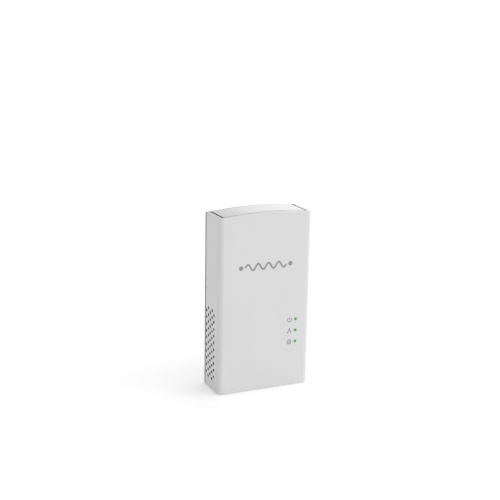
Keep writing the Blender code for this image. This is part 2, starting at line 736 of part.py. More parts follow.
def lying_can(name, x, z, radius):
    """An electrolytic capacitor that lies along Z on the power board."""
    profile = can_profile(z[1], z[0], radius)
    turned(name, profile, (x, POWER_TOP - radius, 0.0), Z, "capacitor_sleeve", steps=18)


def disc(name, x, y, z, radius, look):
    """A leaded disc, such as a varistor, standing edge-on with its axis along X."""
    piece = rod(name, (0.0, y, z), X, x, radius, look, sides=18)
    bevel(piece, DISC_EDGE, angle=60)
    feet = [box("foot", around(sum(x) / 2, DISC_LEG), (y, POWER_TOP),
                around(z + side * radius * DISC_LEG_PLACE, DISC_LEG)) for side in (-1, 1)]
    join(piece, merged(name + "_feet", feet))


def add_legs(chip_body, x, z, board_y, toward, exit_height, count, width):
    """Gull-wing legs down both X sides of a chip, from exit_height to the board."""
    metal, inset, reach = 0.2 * MM, 0.4 * MM, 0.9 * MM
    side_view = [(-inset, exit_height), (0.35 * MM, exit_height), (0.6 * MM, metal),
                 (reach, metal), (reach, 0.0), (0.45 * MM, 0.0),
                 (0.2 * MM, exit_height - metal), (-inset, exit_height - metal)]
    pitch = (z[1] - z[0]) / count
    legs = []
    for side, edge_x in ((-1, x[0]), (1, x[1])):
        outline = [(edge_x + side * u, board_y + toward * height) for u, height in side_view]
        legs += [prism("leg", outline, Z, around(z[0] + (number + 0.5) * pitch, width / 2))
                 for number in range(count)]
    join(chip_body, merged(chip_body.name + "_legs", legs))


def wound_core(prefix, centre, half, winding_look):
    """Ferrite E cores with a wound bobbin on the middle leg. The leg runs along Z."""
    x, y, z = centre
    half_x, half_y, half_z = half
    leg = CORE_LEG * half_x
    window_out = CORE_WINDOW_X * half_x
    window_z = CORE_WINDOW_Z * half_z
    core = box(prefix + "_core", around(x, half_x), around(y, half_y), around(z, half_z),
               "ferrite", edge=0.3 * MM)
    windows = [box("window", sorted((x + side * leg, x + side * window_out)),
                   around(y, half_y + PAST), around(z, window_z)) for side in (-1, 1)]
    cut(core, merged(prefix + "_windows", windows))
    coil = box(prefix + "_winding", around(x, window_out - GAP), around(y, POWER_TOP - y),
               around(z, window_z - GAP), winding_look, edge=0.5 * MM)
    cut(coil, box(prefix + "_bore", around(x, leg + GAP), around(y, half_y + GAP),
                  around(z, half_z)))


def board_header():
    """A pin strip that joins the two boards."""
    half, pin = HEADER_PITCH / 2, HEADER_PIN / 2
    strip = box("board_header", (HEADER_X - half, HEADER_X + HEADER_PINS * HEADER_PITCH - half),
                (POWER_TOP - HEADER_HEIGHT, POWER_TOP), around(HEADER_Z, half), "black_plastic")
    legs = [box("leg", around(HEADER_X + number * HEADER_PITCH, pin),
                (LOGIC_TOP, POWER_TOP - HEADER_HEIGHT / 2), around(HEADER_Z, pin))
            for number in range(HEADER_PINS)]
    join(strip, merged("header_legs", legs))


def power_supply():
    holes = [(x, z, LEAD_RADIUS + GAP) for x, z in LEAD_ENDS.values()]
    board("power_board", POWER_BOARD_HALF, POWER_BOARD_Y, POWER_BOARD_Z, SCREW_ZS[0], holes)
    fuse()
    for name, shape in DISCS.items():
        disc(name, *shape)
    box("x_capacitor", FILM_X, (POWER_TOP - FILM_HEIGHT, POWER_TOP), FILM_Z, "film_yellow",
        edge=0.4 * MM)
    for name, shape in POWER_CHIPS.items():
        power_chip(name, *shape)
    for name, shape in CORES.items():
        wound_core(name, *shape)
    for name, shape in LYING_CANS.items():
        lying_can(name, *shape)
    for name, shape in STANDING_CANS.items():
        can(name, *shape)
    board_header()
    box("insulation_sheet", around(0.0, SHEET_HALF), SHEET_Y, SHEET_Z, "insulation")


def power_chip(name, x, z, height, legs):
    """A legged chip on the front side of the power board."""
    body = box(name, x, (POWER_TOP - height, POWER_TOP - CHIP_LIFT), z, "chip_black",
               edge=0.3 * MM)
    add_legs(body, x, z, POWER_TOP, -1, 1.1 * MM, legs, 0.5 * MM)


def fuse():
    """A leaded fuse with end caps, lying along X."""
    over, past, along_body = FUSE_CAP
    start, end = FUSE_X
    middle = (0.0, POWER_TOP - FUSE_RADIUS - over, FUSE_Z)
    body = rod("fuse", middle, X, FUSE_X, FUSE_RADIUS, "fuse_brown")
    caps = [rod("cap", middle, X, span, FUSE_RADIUS + over)
            for span in ((start - past, start + along_body), (end - along_body, end + past))]
    join(body, merged("fuse_caps", caps))


# Logic board.

def heatsink():
    """A finned heatsink on the powerline chip."""
    base_y = LOGIC_TOP + SINK_LIFT
    sink = box("heatsink", SINK_X, (base_y, base_y + SINK_HEIGHT), SINK_Z, "aluminium")
    pitch = (SINK_X[1] - SINK_X[0] - SINK_FIN) / (SINK_FINS - 1)
    lefts = [SINK_X[0] + number * pitch for number in range(SINK_FINS - 1)]
    slots = [box("slot", (left + SINK_FIN, left + pitch),
                 (base_y + SINK_BASE, base_y + SINK_HEIGHT + PAST),
                 (SINK_Z[0] - PAST, SINK_Z[1] + PAST)) for left in lefts]
    cut(sink, merged("sink_slots", slots))


def chip(name, x, z, height, edge, legs):
    """A chip on the rear side of the logic board, with or without legs."""
    body = box(name, x, (LOGIC_TOP + CHIP_LIFT, LOGIC_TOP + height), z, "chip_black", edge=edge)
    if legs:
        add_legs(body, x, z, LOGIC_TOP, 1, 0.7 * MM, legs, 0.4 * MM)


def logic():
    board("logic_board", LOGIC_BOARD_HALF, LOGIC_BOARD_Y, LOGIC_BOARD_Z, SCREW_ZS[1], [])
    heatsink()
    for name, shape in LOGIC_CHIPS.items():
        chip(name, *shape)
    for name, (x, z, heights, look, edge) in LOGIC_BLOCKS.items():
        box(name, x, (LOGIC_TOP + heights[0], LOGIC_TOP + heights[1]), z, look, edge=edge)
    indicators()


def indicators():
    """A lamp on the board for each hole, and one clear moulding that carries the light."""
    width, depth, height = LED_SIZE
    front = LOGIC_BOARD_Y[0] - GAP
    heights = led_heights()
    for name, z in zip(LED_NAMES, heights):
        box(f"{name}_led", around(LED_X, width / 2), (front - depth, front),
            around(z, height / 2), "led_green", edge=0.15 * MM)
    bar = box("light_pipe", around(LED_X, LIGHT_BAR_HALF), LIGHT_BAR_Y,
              (heights[-1] - LIGHT_BAR_PAST, heights[0] + LIGHT_BAR_PAST), "clear_plastic")
    arms = [rod("arm", (LED_X, 0.0, z), Y, (FRONT, sum(LIGHT_BAR_Y) / 2), LIGHT_ARM_RADIUS,
                sides=12) for z in heights]
    join(bar, merged("light_arms", arms))


# Ethernet jack.

def jack_shield():
    """A tinned steel box, open at the mouth."""
    half = JACK_WIDTH / 2
    shield = box("rj45_shield", around(JACK_X, half), JACK_Y, JACK_Z, "tinned_steel")
    inside = box("shield_inside", around(JACK_X, half - SHIELD_WALL),
                 (JACK_Y[0] + SHIELD_WALL, JACK_Y[1] - SHIELD_WALL),
                 (JACK_Z[0] - PAST, JACK_Z[1] - SHIELD_WALL))
    cut(shield, inside)


def jack_housing():
    """The moulded insert, with the plug's cavity and the latch's keyway."""
    inset = SHIELD_WALL + GAP
    housing = box("rj45_housing", around(JACK_X, JACK_WIDTH / 2 - inset),
                  (JACK_Y[0] + inset, JACK_Y[1] - inset),
                  (JACK_Z[0] + 0.1 * MM, JACK_Z[1] - inset), "black_plastic")
    low, high = CAVITY_Y
    left, right = around(JACK_X, CAVITY_HALF)
    key_left, key_right = around(JACK_X, LATCH_HALF)
    outline = [(left, low), (right, low), (right, high), (key_right, high),
               (key_right, LATCH_Y), (key_left, LATCH_Y), (key_left, high), (left, high)]
    cut(housing, prism("rj45_cavity", outline, Z, (JACK_Z[0] - PAST, CAVITY_END)))


def jack_contacts():
    """Sprung gold wires that run down the board side and fold back up into the cavity."""
    for number in range(CONTACT_COUNT):
        x = JACK_X + (number - (CONTACT_COUNT - 1) / 2) * CONTACT_PITCH
        points = [(x, CONTACT_WALL + out, z) for out, z in CONTACT_PATH]
        wire(f"rj45_contact_{number + 1}", points, CONTACT_RADIUS, "gold", resolution=0)


def ethernet_jack():
    jack_shield()
    jack_housing()
    jack_contacts()


# Buttons.

def button_outline(room):
    """A slot with round ends, this much larger all round than the pairing button."""
    half = BUTTON_WIDTH / 2 + room
    reach = BUTTON_LENGTH / 2 - BUTTON_WIDTH / 2
    right = arc((PAIRING_X + reach, SWITCH_Y), half, -90, 90, 6)
    left = arc((PAIRING_X - reach, SWITCH_Y), half, 90, 270, 6)
    return right + left


def pairing_button():
    """The cap, with a flange that keeps it behind the bottom panel."""
    flange = (FLOOR_TOP + FLANGE_PLAY, PLUNGER_END - FLANGE_PLAY)
    low = BOTTOM - BUTTON_PROUD
    middle = Vector((PAIRING_X, SWITCH_Y, (low + flange[1]) / 2))
    cap = prism("pairing_button", button_outline(0.0), Z, (low, flange[1]), "white_satin")
    cap.data.transform(cap.matrix_world)
    cap.data.transform(Matrix.Translation(-middle))
    cap.matrix_world = Matrix.Translation(middle)
    join(cap, prism("button_flange", button_outline(FLANGE_GROW), Z, flange))


def tact_switch(prefix, x, width):
    """A right-angle tact switch on the logic board, its plunger pointing down."""
    body = box(prefix + "_switch", around(x, width / 2), (LOGIC_TOP, LOGIC_TOP + SWITCH_HEIGHT),
               SWITCH_Z, "black_plastic", edge=0.2 * MM)
    reach, half = PLUNGER_HALF
    pocket = box(prefix + "_pocket", around(x, reach + GAP), around(SWITCH_Y, half + GAP),
                 (SWITCH_Z[0] - PAST, SWITCH_Z[0] + POCKET_DEPTH))
    cut(body, pocket)
    box(prefix + "_plunger", around(x, reach), around(SWITCH_Y, half),
        (PLUNGER_END, SWITCH_Z[0] + PLUNGER_INSIDE), "white_satin", edge=0.15 * MM)


clear_scene()
PARTS = make_collection("powerline_adapter")
CUTTERS = make_collection("cutters")
front_cover()
rear_cover()
cover_screws()
rating_label()
plug()
power_supply()
logic()
ethernet_jack()
pairing_button()
tact_switch("pairing", PAIRING_X, PAIRING_SWITCH_WIDTH)
tact_switch("reset", RESET_X, RESET_SWITCH_WIDTH)
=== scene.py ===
"""Looks of the powerline adapter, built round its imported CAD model.

Lengths are in metres, in the CAD's frame: the origin is the plug face's centre, +X is to the
right seen from the front, +Y goes into the wall and +Z is up.
"""
from math import atan2, cos, hypot, pi, radians, sin, sqrt, tan, tau

import bmesh
import bpy
from mathutils import Matrix, Vector


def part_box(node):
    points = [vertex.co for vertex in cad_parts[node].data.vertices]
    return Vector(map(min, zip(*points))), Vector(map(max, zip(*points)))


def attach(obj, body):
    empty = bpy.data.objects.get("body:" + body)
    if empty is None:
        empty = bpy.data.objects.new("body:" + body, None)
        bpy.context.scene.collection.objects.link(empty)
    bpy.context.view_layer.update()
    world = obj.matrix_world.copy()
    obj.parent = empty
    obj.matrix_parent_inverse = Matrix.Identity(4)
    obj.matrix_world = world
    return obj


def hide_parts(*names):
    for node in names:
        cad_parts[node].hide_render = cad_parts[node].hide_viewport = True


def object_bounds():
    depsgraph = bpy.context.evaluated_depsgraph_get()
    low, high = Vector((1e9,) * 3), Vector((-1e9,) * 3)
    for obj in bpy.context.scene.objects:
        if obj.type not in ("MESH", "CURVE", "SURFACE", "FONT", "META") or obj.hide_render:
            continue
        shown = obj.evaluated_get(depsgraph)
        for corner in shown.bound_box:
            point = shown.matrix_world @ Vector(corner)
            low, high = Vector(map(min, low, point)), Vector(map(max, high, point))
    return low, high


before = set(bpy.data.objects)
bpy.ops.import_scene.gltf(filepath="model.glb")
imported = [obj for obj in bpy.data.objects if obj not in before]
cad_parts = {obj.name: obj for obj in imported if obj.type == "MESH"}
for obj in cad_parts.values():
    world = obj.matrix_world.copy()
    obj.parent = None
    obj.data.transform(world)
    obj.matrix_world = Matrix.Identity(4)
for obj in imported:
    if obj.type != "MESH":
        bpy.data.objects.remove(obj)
cad_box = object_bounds()

MM = 0.001
X, Y, Z = 0, 1, 2
WELD = 0.002 * MM  # points closer than this are one
PAST = 1.0 * MM  # how far a cutter reaches past what it cuts
GAP = 0.2 * MM  # room between pieces that touch
SHARP = 35  # an edge that turns more than this many degrees isn't smoothed
EDGE_STEPS = 4  # facets in a rounded edge
CORNER_STEPS = 12  # facets in an upright corner
FLARE_ANGLES = (0, 27, 54, 80)  # turns of a cutter's flared rim, in degrees
# Slot 1 holds a near-black painted shade for the faces inside the casing and in its gaps, vents and
# lamp holes.
OUTSIDE, PAINTED_SHADE = 0, 1  # material slots of the two casing halves

# Casing, measured from the frame where it says.
COVER_LOW, COVER_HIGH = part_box("front_cover")
REAR_LOW, REAR_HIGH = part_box("rear_cover")
HALF = COVER_HIGH.x
FRONT = COVER_LOW.y
BOTTOM = COVER_LOW.z
WALL_END = COVER_HIGH.y  # rear ends of the side walls
PANEL_FRONT = REAR_LOW.y  # front edges of the top and bottom panels
TOP_RISE = 0.033  # the top climbs this much for each unit to the front
CROWN = REAR_HIGH.z + TOP_RISE * REAR_LOW.y
ARCH_RADIUS = 220 * MM  # of the top, seen from the front
FRONT_WALL = 1.8 * MM
SIDE_WALL = 2.4 * MM
SIDE_GROOVE = 0.85 * MM  # gap between a side wall and the top panel
PANEL_WALL = 1.8 * MM  # the top panel
FLOOR_WALL = 2.0 * MM  # the bottom panel
REAR_WALL = 2.0 * MM
RIM = 0.6 * MM  # the rear plate's edge, behind the shadow line
SHADOW_LINE = 0.4 * MM  # its width and depth in the top and bottom panels
SHADOW_DEPTH = 0.5 * MM
CORNER = 3.0 * MM  # radius of the front cover's upright corners
INNER_CORNER = 0.8 * MM
PRINT = 0.03 * MM  # thickness of the printed marks
FACE = FRONT + PRINT  # the front surface, so that the marks stay in the box
INNER_SIDE = HALF - SIDE_WALL
INNER_FRONT = FRONT + FRONT_WALL
PANEL_HALF = INNER_SIDE - SIDE_GROOVE
FLOOR_TOP = BOTTOM + FLOOR_WALL

# Roundings of the casing.
TOP_ROUND = 0.25 * MM  # top and foot of the front cover's outer face
FOOT_ROUND = 0.3 * MM
INSIDE_ROUND = 0.1 * MM  # the same edges of its inner face
END_ROUND = 0.15 * MM  # rear ends of the side walls
RIM_ROUND = 0.1 * MM  # round a vent or lamp hole
REAR_ROUND = 0.25 * MM  # round the rear face
PANEL_ROUND = 0.1 * MM  # along the top and bottom panels
HOLE_ROUND = 0.2 * MM  # round a recess or opening of the rear cover

# Side vents, in upright rows, and the lamp holes.
VENT_RADIUS = 0.9 * MM
VENT_ROWS = 5
VENT_FIRST_ROW = -3.1 * MM
VENT_ROW_PITCH = 2.6 * MM
VENT_PITCH = 4.03 * MM
VENT_MIDDLE = -52.9 * MM
LED_HOLE = 0.75 * MM  # radius of a lamp hole
LED_CELL = 2.0 * MM  # half width of the strip that holds the lamp holes
LED_ROOM = 0.5 * MM  # and the least face above and below each
LED_X = sum(v.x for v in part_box("power_led")) / 2
LED_HEIGHTS = [sum(v.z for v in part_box(name)) / 2
               for name in ("power_led", "network_led", "socket_led")]
HOLE_STEPS = 24  # facets round a vent or lamp hole


# ---- meshes

def stand(name, data):
    """A new object of the scene."""
    piece = bpy.data.objects.new(name, data)
    bpy.context.scene.collection.objects.link(piece)
    return piece


def finish_mesh(name, bm, *looks):
    """An object from a closed bmesh, smooth where it turns gently."""
    bmesh.ops.recalc_face_normals(bm, faces=bm.faces)
    mesh = bpy.data.meshes.new(name)
    bm.to_mesh(mesh)
    bm.free()
    mesh.shade_smooth()
    mesh.set_sharp_from_angle(angle=radians(SHARP))
    piece = stand(name, mesh)
    for look in looks:
        mesh.materials.append(look)
    even = piece.modifiers.new("even", "WEIGHTED_NORMAL")
    even.keep_sharp = True
    split = piece.modifiers.new("split", "TRIANGULATE")
    split.min_vertices = 5
    split.keep_custom_normals = True
    return piece


def bridge(bm, first, second, closed=True, side=OUTSIDE):
    """Quads between two rows of vertices."""
    count = len(first)
    for k in range(count if closed else count - 1):
        following = (k + 1) % count
        face = bm.faces.new((first[k], first[following], second[following], second[k]))
        face.material_index = side


def loft(bm, loops, closed=False):
    """A skin over rings of points, with flat ends unless it is closed."""
    rows = [[bm.verts.new(point) for point in loop] for loop in loops]
    for first, second in zip(rows, rows[1:] + rows[:1] if closed else rows[1:]):
        bridge(bm, first, second)
    if not closed:
        bm.faces.new(reversed(rows[0]))
        bm.faces.new(rows[-1])


def arc(centre, radius, start, end, steps):
    """Points of an arc, from one angle to another in degrees."""
    angles = [radians(start + (end - start) * step / steps) for step in range(steps + 1)]
    return [(centre[0] + radius * cos(angle), centre[1] + radius * sin(angle))
            for angle in angles]


def rounded(u, v, radius, steps=8):
    """A rectangle with round corners."""
    corners = (((u[1] - radius, v[1] - radius), 0), ((u[0] + radius, v[1] - radius), 90),
               ((u[0] + radius, v[0] + radius), 180), ((u[1] - radius, v[0] + radius), 270))
    points = []
    for centre, start in corners:
        points += arc(centre, radius, start, start + 90, steps)
    return points


def seen_along(axis, low, high, room, radius, steps=8):
    """The rounded outline of a box seen along an axis, with room all round."""
    u, v = (k for k in (X, Y, Z) if k != axis)
    return rounded((low[u] - room, high[u] + room), (low[v] - room, high[v] + room), radius,
                   steps)


def circle(u, v, radius, steps=32):
    return arc((u, v), radius, 0, 360, steps)[:-1]


def grown(outline, amount):
    """The outline moved out by an amount, corner by corner."""
    points = []
    following = outline[1:] + outline[:1]
    area = sum(a[0] * b[1] - b[0] * a[1] for a, b in zip(outline, following))
    turn = 1 if area > 0 else -1
    for k, point in enumerate(outline):
        here = Vector(point)
        before = (here - Vector(outline[k - 1])).normalized()
        after = (Vector(following[k]) - here).normalized()
        middle = Vector((before.y, -before.x)) * turn + Vector((after.y, -after.x)) * turn
        scale = 2.0 / max(middle.length_squared, 0.5)
        points.append(tuple(here + middle * amount * scale))
    return points


def place(point, axis, height):
    """A point of the plane across an axis, at a height along it."""
    return (*point[:axis], height, *point[axis:])


def slab(name, outline, axis, span, *looks, **rounding):
    """An outline pushed along an axis, with rounded edges at either end."""
    bm = bmesh.new()
    add_slab(bm, outline, axis, span, **rounding)
    return finish_mesh(name, bm, *looks)


def add_slab(bm, outline, axis, span, low_round=0.0, high_round=0.0, steps=4):
    """The same, added to a bmesh."""
    layers = []
    for radius, end, sign in ((low_round, span[0], 1), (high_round, span[1], -1)):
        turns = [radians(90 * step / steps) for step in range(steps + 1 if radius else 1)]
        layers += [(radius * (1 - sin(turn)), end + sign * radius * (1 - cos(turn)))
                   for turn in turns[::sign]]
    loft(bm, [[place(p, axis, height) for p in grown(outline, -inset)]
              for inset, height in layers])


def lathe(name, profile, centre, axis, *looks, steps=48):
    """A profile of (radius, place along the axis), spun round the axis from tip to tip."""
    bm = bmesh.new()
    rows = []
    for radius, height in profile:
        points = circle(0.0, 0.0, radius, steps) if radius else [(0.0, 0.0)]
        rows.append([bm.verts.new(Vector(centre) + Vector(place(p, axis, height)))
                     for p in points])
    for tip, ring in ((rows[0][0], rows[1]), (rows[-1][0], rows[-2])):
        for k in range(steps):
            bm.faces.new((tip, ring[k], ring[(k + 1) % steps]))
    for first, second in zip(rows[1:], rows[2:-1]):
        bridge(bm, first, second)
    return finish_mesh(name, bm, *looks)


def put_in_order(bm):
    """Number a bmesh's parts by where they are, as a boolean gives them in any order."""
    def spot(part):
        corners = [part] if isinstance(part, bmesh.types.BMVert) else part.verts
        middle = sum((v.co for v in corners), Vector()) / len(corners)
        return tuple(round(c / WELD) for c in middle)

    for parts in (bm.verts, bm.edges, bm.faces):
        for rank, part in enumerate(sorted(parts, key=spot)):
            part.index = rank
        parts.sort()


def carve(piece, tools, edge=0.0, segments=3, operation="DIFFERENCE"):
    """Cut closed shapes out of a piece, or add them, and round the sharp rims."""
    piece.modifiers.clear()
    for tool in tools:
        tool.modifiers.clear()
        step = piece.modifiers.new("cut", "BOOLEAN")
        step.operation = operation
        step.object = tool
        step.solver = "EXACT"
    graph = bpy.context.evaluated_depsgraph_get()
    mesh = bpy.data.meshes.new_from_object(piece.evaluated_get(graph))
    for tool in tools:
        bpy.data.objects.remove(tool, do_unlink=True)
    bm = bmesh.new()
    bm.from_mesh(mesh)
    bmesh.ops.remove_doubles(bm, verts=bm.verts, dist=WELD)
    put_in_order(bm)
    bmesh.ops.dissolve_limit(bm, angle_limit=radians(0.2), verts=bm.verts,
                             edges=bm.edges, delimit={"MATERIAL"})
    name, looks = piece.name, list(piece.data.materials)
    bpy.data.objects.remove(piece, do_unlink=True)
    if edge:
        soften(bm, edge, segments)
    return finish_mesh(name, bm, *looks)


def soften(bm, width, segments=3, wanted=lambda edge: True):
    """Round the sharp outward edges of a bmesh."""
    bmesh.ops.recalc_face_normals(bm, faces=bm.faces)
    rims = [e for e in bm.edges if len(e.link_faces) == 2 and e.is_convex
            and e.calc_face_angle(0.0) > radians(50) and wanted(e)]
    bmesh.ops.bevel(bm, geom=rims, offset=width, segments=segments, profile=0.5,
                    affect="EDGES", clamp_overlap=True)


def cutter(outline, axis, span):
    """A plain closed shape to cut with."""
    return slab("cutter", outline, axis, span)


def flared_cutter(outline, axis, inner, surface):
    """A cutter from a depth to a surface, flared there to leave a rounded rim."""
    rim = HOLE_ROUND
    out = 1 if surface > inner else -1
    layers = [(0.0, inner)]
    for angle in FLARE_ANGLES:
        turn = radians(angle)
        layers.append((rim * (1 - cos(turn)), surface - out * rim * (1 - sin(turn))))
    wide, near = layers[-1]
    rise = rim / 2
    layers.append((wide + rise * tan(radians(FLARE_ANGLES[-1])), near + out * rise))
    layers.append((layers[-1][0], surface + out * PAST))
    bm = bmesh.new()
    loft(bm, [[place(p, axis, height) for p in grown(outline, growth)]
              for growth, height in layers])
    return finish_mesh("cutter", bm)


# ---- materials

class Tree:
    """A material's or a sky's node tree, with short ways to add and join nodes."""

    def __init__(self, owner, shader, space, scale):
        owner.use_nodes = True
        self.owner = owner
        self.nodes, self.links = owner.node_tree.nodes, owner.node_tree.links
        self.shader = self.nodes[shader]
        self.space = self.add("TexCoord").outputs[space]
        self.space = self.stretched((scale, scale, scale))

    def add(self, kind, inputs=(), operation=None):
        """A node of this kind, with its inputs set."""
        node = self.nodes.new("ShaderNode" + kind)
        if operation:
            node.operation = operation
        for socket, value in dict(inputs).items():
            self.feed(socket, value, node)
        return node

    def feed(self, socket, value, node=None):
        """Set an input to a number or a colour, or join it to another node's output."""
        target = (node or self.shader).inputs[socket]
        if isinstance(value, bpy.types.NodeSocket):
            self.links.new(value, target)
        elif target.type == "RGBA":
            target.default_value = (*value, 1.0)
        else:
            target.default_value = value

    def stretched(self, scale):
        """The place, scaled by a factor on each axis."""
        return self.add("Mapping", {"Scale": scale, "Vector": self.space}).outputs["Vector"]

    def noise(self, size, detail=3.0, vector=None):
        """Noise whose features are about this many millimetres wide."""
        inputs = {"Scale": 1.0 / size, "Detail": detail, "Roughness": 0.55,
                  "Vector": vector or self.space}
        return self.add("TexNoise", inputs).outputs["Fac"]

    def distance(self, point):
        """How many millimetres away a point is, the point in metres."""
        inputs = {0: self.space, 1: Vector(point) / MM}
        return self.add("VectorMath", inputs, "DISTANCE").outputs["Value"]

    def fit(self, value, low, high, start=0.3, end=0.7):
        """The value, from a range between start and end to one between low and high."""
        inputs = {"Value": value, "From Min": start, "From Max": end, "To Min": low,
                  "To Max": high}
        return self.add("MapRange", inputs).outputs["Result"]

    def mix(self, share, first, second):
        """A blend of two colours, each a colour or a socket."""
        node = self.add("Mix", {"Factor": share})
        node.data_type = "RGBA"
        colours = [k for k, socket in enumerate(node.inputs) if socket.type == "RGBA"]
        for socket, colour in zip(colours, (first, second)):
            self.feed(socket, colour, node)
        return [socket for socket in node.outputs if socket.type == "RGBA"][0]

    def bump(self, heights):
        """Bumps from (height socket, depth in millimetres), one on another."""
        for height, depth in heights:
            node = self.add("Bump", {"Distance": depth * MM, "Height": height})
            for link in self.shader.inputs["Normal"].links:
                self.feed("Normal", link.from_socket, node)
            self.feed("Normal", node.outputs["Normal"])


def material_tree(name):
    """A new material's tree, whose space is in millimetres."""
    return Tree(bpy.data.materials.new(name), "Principled BSDF", "Object", 1 / MM)


# Painted light: the lamps' green glow, painted onto the white plastic round each lamp hole.
PAINTED_GLOW_REACH = (0.8, 2.3)  # where a lamp's tint is full and gone, in millimetres
PAINTED_GLOW_COLOUR = (0.60, 0.75, 0.60)


def shaded(colour, factor):
    """The colour, lighter or darker by a factor."""
    return tuple(min(1.0, channel * factor) for channel in colour)


def moulded(name, colour, roughness, grain=0.25, depth=0.0015, mottle=0.02, spread=0.05,
            gloss=0.5, lamps=()):
    """Plastic with flow marks, spark texture and uneven gloss, with lamp light painted round any
    lamps.
    """
    tree = material_tree(name)
    flow = tree.noise(14.0, 2.0, tree.stretched((1.0, 1.0, 0.35)))
    paint = tree.mix(tree.fit(flow, 0.0, 1.0), shaded(colour, 1 - mottle),
                     shaded(colour, 1 + mottle))
    # Painted light: a green glow round each lamp, fading with distance.
    for lamp in lamps:
        paint = tree.mix(tree.fit(tree.distance(lamp), 1.0, 0.0, *PAINTED_GLOW_REACH), paint, PAINTED_GLOW_COLOUR)
    tree.feed("Base Color", paint)
    patch = tree.noise(4.0, 4.0)
    tree.feed("Roughness", tree.fit(patch, roughness - spread, roughness + spread))
    tree.bump([(tree.noise(grain, 2.0), depth), (tree.noise(12.0, 1.0), depth * 4)])
    tree.feed("Specular IOR Level", gloss)
    return tree.owner


def metal(name, colour, roughness, stretch=(1.0, 1.0, 1.0), size=0.3, depth=0.001, spread=0.08,
          tarnish=0.15):
    """Metal with brush lines along its long axis, and a little tarnish."""
    tree = material_tree(name)
    lines = tree.noise(size, 4.0, tree.stretched(stretch))
    cloud = tree.noise(3.0, 5.0)
    tree.feed("Base Color", tree.mix(tree.fit(cloud, 0.0, 1.0, 0.45, 0.75), colour,
                                     shaded(colour, 1 - tarnish)))
    tree.feed("Metallic", 1.0)
    tree.feed("Roughness", tree.fit(lines, roughness - spread, roughness + spread))
    tree.bump([(lines, depth)])
    return tree.owner


def glowing(name, colour, light, strength):
    """A lit lamp's tip: clear tinted plastic, its tone varying a little at random."""
    tree = material_tree(name)
    tree.feed("Base Color", tree.mix(tree.fit(tree.noise(0.4), 0.0, 1.0), colour,
                                     shaded(colour, 1.15)))
    tree.feed("Roughness", tree.fit(tree.noise(0.3), 0.15, 0.3))
    tree.feed("Emission Color", light)
    tree.feed("Emission Strength", strength)
    return tree.owner


# ---- front cover

# Heights of the rows of faces: half a vent pitch apart beside the vents, then wider.
LEVELS = ([VENT_MIDDLE + (k - VENT_ROWS * 2 - 1) * VENT_PITCH / 2
           for k in range(VENT_ROWS * 4 + 3)]
          + [z * MM for z in (-26, -20, -13, -6, 1, 8, 14, 18)])
BESIDE_CORNER = 1.4 * MM  # plain strip between the vents and the corner
FRONT_STEPS = 20  # columns of faces from the left corner to the lamps


def top_height(x, y):
    """Height of the arched top, which leans up towards the front."""
    sag = sqrt(ARCH_RADIUS ** 2 - x ** 2) - ARCH_RADIUS
    return CROWN - y * TOP_RISE + sag * hypot(1.0, TOP_RISE)


def quarter(radius):
    """(along, inset) of points on a quarter circle, from the end to where it is flush."""
    angles = [radians(90 * (1 - step / EDGE_STEPS)) for step in range(EDGE_STEPS + 1)]
    return [(radius * (1 - sin(angle)), radius * (1 - cos(angle))) for angle in angles]


def cover_stations():
    """(outer, inner, outward normal, inset) round the U, left wall to right wall."""
    side = [(WALL_END - along, inset) for along, inset in quarter(END_ROUND)]
    side += [(VENT_FIRST_ROW - (row + 0.5) * VENT_ROW_PITCH, 0.0) for row in range(VENT_ROWS)]
    side.append((FACE + CORNER + BESIDE_CORNER, 0.0))
    left = [(Vector((-HALF, y)), Vector((-INNER_SIDE, y)), Vector((-1.0, 0.0)), inset)
            for y, inset in side]
    outer = arc((-HALF + CORNER, FACE + CORNER), CORNER, 180, 270, CORNER_STEPS)
    inner = arc((-INNER_SIDE + INNER_CORNER, INNER_FRONT + INNER_CORNER), INNER_CORNER,
                180, 270, CORNER_STEPS)
    normals = arc((0.0, 0.0), 1.0, 180, 270, CORNER_STEPS)
    left += [(Vector(far), Vector(close), Vector(normal), 0.0)
             for far, close, normal in zip(outer, inner, normals)]
    right = [(Vector((-a.x, a.y)), Vector((-b.x, b.y)), Vector((-n.x, n.y)), inset)
             for a, b, n, inset in reversed(left)]
    start = -HALF + CORNER
    stop = LED_X - LED_CELL
    xs = [start + (stop - start) * k / FRONT_STEPS for k in range(1, FRONT_STEPS + 1)]
    xs += [LED_X + LED_CELL, LED_X + LED_CELL * 2]
    front = [(Vector((x, FACE)), Vector((x, INNER_FRONT)), Vector((0.0, -1.0)), 0.0) for x in xs]
    return left + front + right


def wall_rows(foot, top):
    """(inset, where its height is from, height) of each row up one face of the wall."""
    rows = [(inset, "foot", along) for along, inset in quarter(foot)]
    rows += [(0.0, "level", z) for z in LEVELS]
    return rows + [(inset, "top", -along) for along, inset in reversed(quarter(top))]


def wall_column(bm, point, outward, rows, shrink):
    """The vertices of those rows, one above another, at one station."""
    column = []
    for inset, base, height in rows:
        spot = point - outward * (inset + shrink)
        if base == "foot":
            height += BOTTOM + shrink
        elif base == "top":
            height += top_height(spot.x, spot.y) - shrink
        column.append(bm.verts.new((spot.x, spot.y, height)))
    return column


def stitch(bm, border, ring, centre, across, side):
    """Faces from a border of vertices to a ring inside it."""
    def angle(vertex):
        away = vertex.co - centre
        return atan2(away.z, away.dot(across)) % tau

    border = sorted(border, key=angle)
    count = len(ring)
    nearest = [round(angle(vertex) / tau * count) % count for vertex in border]
    for k, vertex in enumerate(border):
        following = (k + 1) % len(border)
        step = nearest[following]
        corners = [vertex, border[following], ring[step]]
        while step != nearest[k]:
            step = (step - 1) % count
            corners.append(ring[step])
        bm.faces.new(corners).material_index = side


